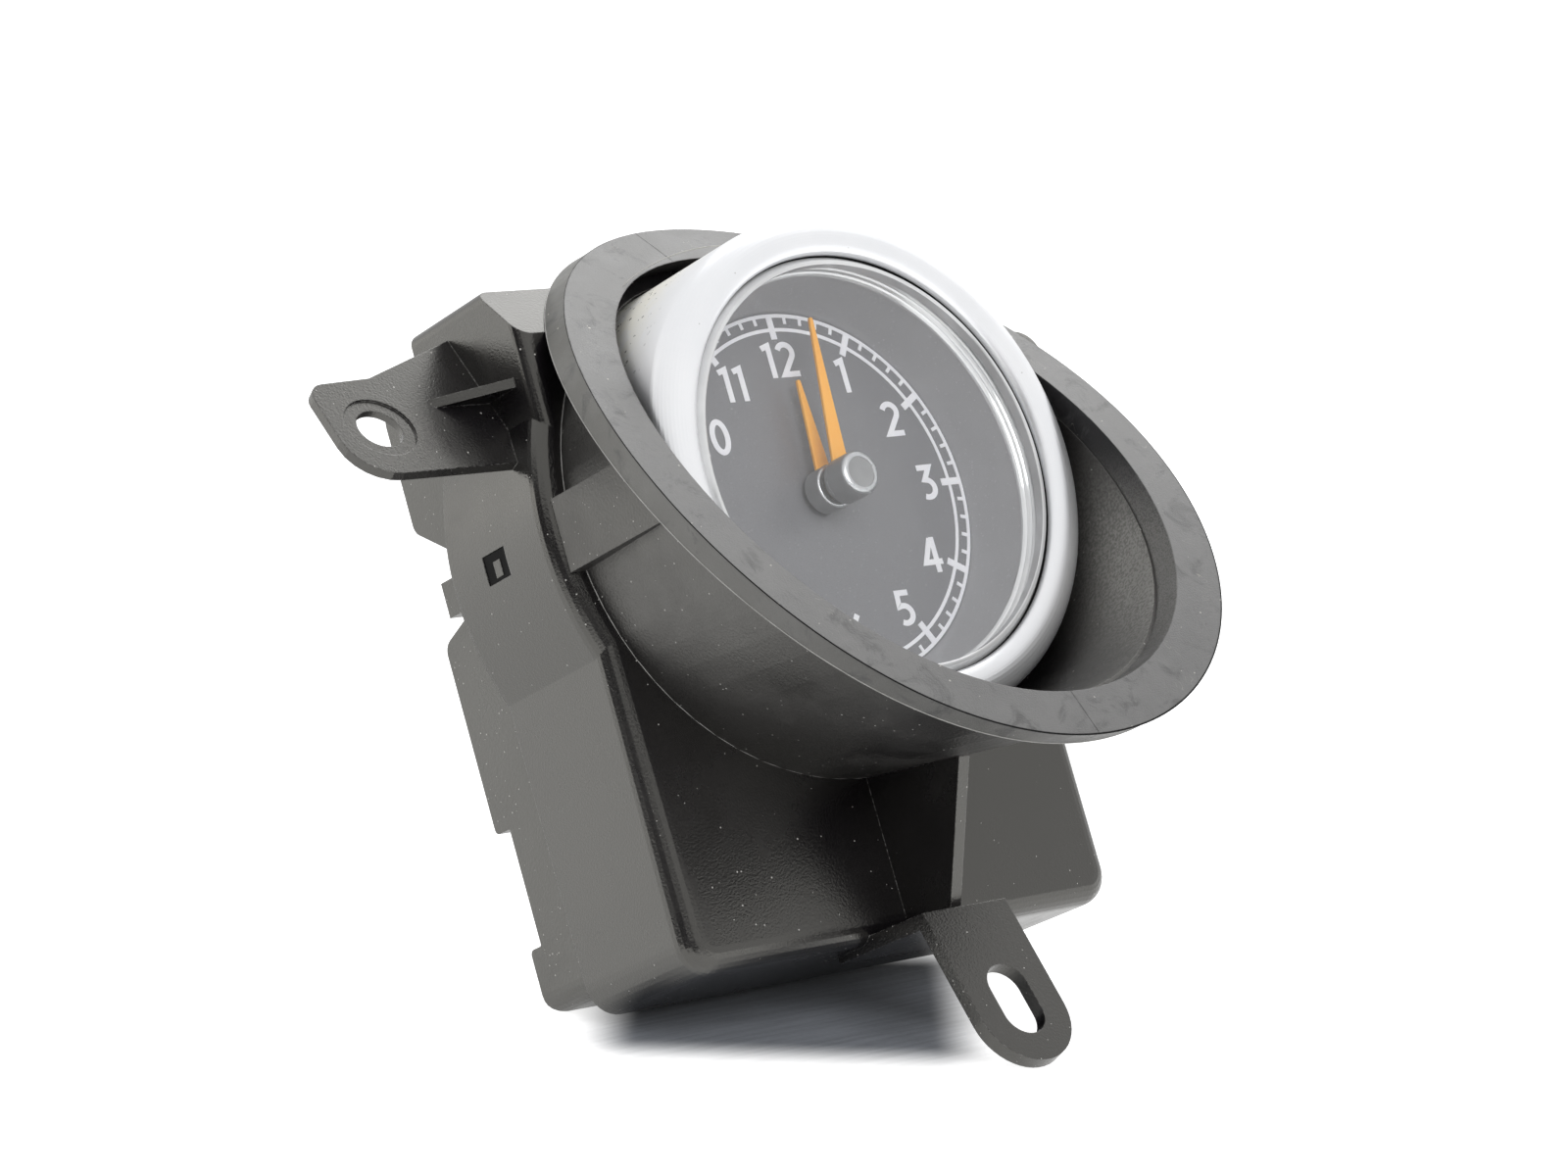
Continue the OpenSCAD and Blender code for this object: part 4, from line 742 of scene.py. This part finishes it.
def ribbon(path, width):
    closed = math.dist(path[0], path[-1]) < 1e-6
    if closed:
        path = path[:-1]
    count = len(path)
    left, right = [], []
    for i, (x, y) in enumerate(path):
        before = path[i - 1] if i or closed else None
        after = path[(i + 1) % count] if i < count - 1 or closed else None
        steps = []
        if before:
            steps.append((x - before[0], y - before[1]))
        if after:
            steps.append((after[0] - x, after[1] - y))
        normals = [(-dy / math.hypot(dx, dy), dx / math.hypot(dx, dy)) for dx, dy in steps]
        nx, ny = sum(n[0] for n in normals), sum(n[1] for n in normals)
        size = math.hypot(nx, ny)
        nx, ny = nx / size, ny / size
        reach = width / 2 / max(0.3, nx * normals[0][0] + ny * normals[0][1])
        left.append((x + nx * reach, y + ny * reach))
        right.append((x - nx * reach, y - ny * reach))
    return left, right, closed


def inkStroke(path, width, place, low, high):
    left, right, closed = ribbon(path, width)
    count = len(left)
    points = []
    for row, z in ((left, high), (right, high), (right, low), (left, low)):
        points += [(*place(p), z) for p in row]
    faces = []
    for i in range(count if closed else count - 1):
        n = (i + 1) % count
        for k in range(4):
            a, b = k * count, (k + 1) % 4 * count
            faces.append((a + i, a + n, b + n, b + i))
    if not closed:
        for i in (0, count - 1):
            faces.append(tuple(k * count + i for k in range(4)))
    return points, faces


def hourNumber(hour, look):
    label = str(hour)
    h = look["height"]
    wide = sum(figures[c][0] for c in label) + look["gap"] * (len(label) - 1)
    angle = math.radians(90 - 30 * hour)
    right, up = look["nudge"].get(hour, (0.0, 0.0))
    cx, cy = look["radius"] * math.cos(angle) + right, look["radius"] * math.sin(angle) + up
    points, faces, at = [], [], -wide / 2
    for c in label:
        for lift, stroke in enumerate(figures[c][1]):
            def place(p, at=at):
                return cx + (p[0] + at) * h * look["wide"], cy + (p[1] - 0.5) * h
            top = look["face"] + look["ink"] + look["lift"] * lift
            more, walls = inkStroke(stroke, look["stroke"] / h, place, look["face"], top)
            faces += [tuple(i + len(points) for i in f) for f in walls]
            points += more
        at += figures[c][0] + look["gap"]
    return addPiece(f"hourNumber{hour}", points, faces, "print", "case", look["sharp"])


for hour in range(1, 13):
    hourNumber(hour, numberLook)
print("hour numbers printed")

# camera, floor, light
shot = {"place": (-0.408355, -0.459087, 0.164172), "right": (0.757752, -0.651824, 0.030601),
        "up": (0.090655, 0.151596, 0.984277), "back": (-0.646214, -0.743064, 0.173963), "lens": 107.6635}


def placeCamera(look):
    lensData = bpy.data.cameras.new("photoView")
    lensData.lens, lensData.sensor_width, lensData.sensor_fit = look["lens"], 36.0, "HORIZONTAL"
    camera = bpy.data.objects.new("photoView", lensData)
    scene.collection.objects.link(camera)
    axes = Matrix([look["right"], look["up"], look["back"]]).transposed().to_4x4()
    camera.matrix_world = Matrix.Translation(look["place"]) @ axes
    scene.camera = camera


placeCamera(shot)

# painted shadow: the floor darkens in a soft rectangle under the part; half sizes, middle and fade, in metres along its
# turned sides
studio = {"floorSize": 6.0, "floorColour": (0.88, 0.88, 0.885), "paintedShadowColour": (0.31, 0.33, 0.37), "turn": 40.7,
          "foot": (0.019, 0.020), "footMid": (-0.005, -0.004), "fade": (0.010, 0.014), "dim": 0.006, "glow": 0.85,
          "grain": 1200.0, "cloud": 8.0, "rough": (0.36, 0.48), "streakScale": (60, 900, 1), "streakSpan": (0.35, 0.65),
          "streakTone": (0.8, 0.8, 0.8), "worldLight": 0.56, "aim": (0, 0, 0.05), "cardSteps": 16,
          "lamps": (
              {"name": "rightSoftbox", "place": (0.62, 0.42, 0.72), "size": (0.9, 0.6), "power": 3.3, "tint": (1, 1, 1),
               "mirrored": True},
              {"name": "frontSoftbox", "place": (-0.22, -0.82, 0.60), "size": (0.7, 0.5), "power": 4.6,
               "tint": (1, 1, 1), "mirrored": False},
              {"name": "leftPanel", "place": (-0.62, 0.80, 0.22), "size": (0.7, 0.4), "power": 0.8,
               "tint": (1, 0.975, 0.92), "mirrored": True}),
          "cards": ({"name": "darkCard", "radius": 1.1, "from": 150.0, "to": 207.0, "height": 0.6, "tone": 0.06},
                    {"name": "greyCard", "radius": 1.1, "from": 207.0, "to": 255.0, "height": 0.56, "tone": 0.08})}


def layFloor(look):
    h = look["floorSize"] / 2
    mesh = bpy.data.meshes.new("paleFloor")
    mesh.from_pydata([(-h, -h, 0), (h, -h, 0), (h, h, 0), (-h, h, 0)], [], [(0, 1, 2, 3)])
    material, tree, shader = newMaterial("paleTable", Specular_IOR_Level=0.25, Emission_Color=rgb(1, 1, 1))
    grain = useGroup(tree, grainGroup, Scale=look["grain"], Cloud_Scale=look["cloud"])
    spot, turn = objectSpot(tree), (0, 0, math.radians(look["turn"]))
    drawn = put(tree, "ShaderNodeMapping", Vector=spot, Rotation=turn, Scale=look["streakScale"]).outputs[0]
    streak = put(tree, "ShaderNodeTexNoise", Vector=drawn, Scale=1.0, Detail=3.0).outputs[0]
    squared = put(tree, "ShaderNodeMapping", Vector=spot, Rotation=turn).outputs[0]
    part = put(tree, "ShaderNodeSeparateXYZ", Vector=squared).outputs
    squares = []  # how far past the painted shadow zone, along each of its sides
    for k in (0, 1):
        offset = sums(tree, "ABSOLUTE", sums(tree, "SUBTRACT", part[k], look["footMid"][k]))
        past = sums(tree, "MAXIMUM", sums(tree, "SUBTRACT", offset, look["foot"][k]), 0.0)
        beyond = sums(tree, "DIVIDE", past, look["fade"][k])
        squares.append(sums(tree, "MULTIPLY", beyond, beyond))
    away = sums(tree, "SQRT", sums(tree, "ADD", *squares))
    # painted shadow: inside the zone the floor's colour darkens towards the shade colour
    base = tint(tree, remap(tree, away, 0.0, 1.0, 0.0, 1.0), rgb(*look["paintedShadowColour"]), rgb(*look["floorColour"]))
    drawnMask = remap(tree, streak, *look["streakSpan"], 0.0, 1.0)
    tree.links.new(tint(tree, drawnMask, base, rgb(*look["streakTone"]), "MULTIPLY"), shader.inputs["Base Color"])
    tree.links.new(remap(tree, grain["Height"], *effects["cloudSpan"], *look["rough"]), shader.inputs["Roughness"])
    fade = remap(tree, away, 0.0, 1.0, look["dim"], look["glow"])
    tree.links.new(sums(tree, "MULTIPLY", fade, shownRays(tree)), shader.inputs["Emission Strength"])
    mesh.materials.append(material)
    floor = bpy.data.objects.new("paleFloor", mesh)
    scene.collection.objects.link(floor)


layFloor(studio)


# toned cards around the camera's side of the studio: only reflections see them
def hangCard(look, steps):
    points = []
    for i in range(steps + 1):
        turn = math.radians(look["from"] + (look["to"] - look["from"]) * i / steps)
        points += [(look["radius"] * math.cos(turn), look["radius"] * math.sin(turn), z) for z in (0.0, look["height"])]
    mesh = bpy.data.meshes.new(look["name"])
    mesh.from_pydata(points, [], [(2 * i, 2 * i + 2, 2 * i + 3, 2 * i + 1) for i in range(steps)])
    material = newMaterial(look["name"], Roughness=0.9, Base_Color=rgb(0, 0, 0), Specular_IOR_Level=0.0,
                           Emission_Color=rgb(1, 1, 1), Emission_Strength=look["tone"])[0]
    mesh.materials.append(material)
    card = bpy.data.objects.new(look["name"], mesh)
    scene.collection.objects.link(card)
    card.visible_camera = card.visible_diffuse = card.visible_shadow = card.visible_transmission = False


for card in studio["cards"]:
    hangCard(card, studio["cardSteps"])


def lightStudio(look):
    world = bpy.data.worlds.new("paleStudio")
    world.use_nodes = True
    scene.world = world
    tree = world.node_tree
    strength = remap(tree, shownRays(tree), 0.0, 1.0, look["worldLight"], 1.0)
    background = tree.nodes["Background"]
    background.inputs["Color"].default_value = rgb(1, 1, 1)
    tree.links.new(strength, background.inputs["Strength"])
    for lamp in look["lamps"]:
        data = bpy.data.lights.new(lamp["name"], "AREA")
        data.shape, data.size, data.size_y = "RECTANGLE", *lamp["size"]
        data.energy, data.color = lamp["power"], lamp["tint"]
        light = bpy.data.objects.new(lamp["name"], data)
        light.location = lamp["place"]
        aim = Vector(look["aim"]) - light.location
        light.rotation_euler = aim.to_track_quat("-Z", "Y").to_euler()
        light.visible_glossy = lamp["mirrored"]
        scene.collection.objects.link(light)


lightStudio(studio)
scene.view_settings.view_transform = "Standard"
print("camera, floor and light set")
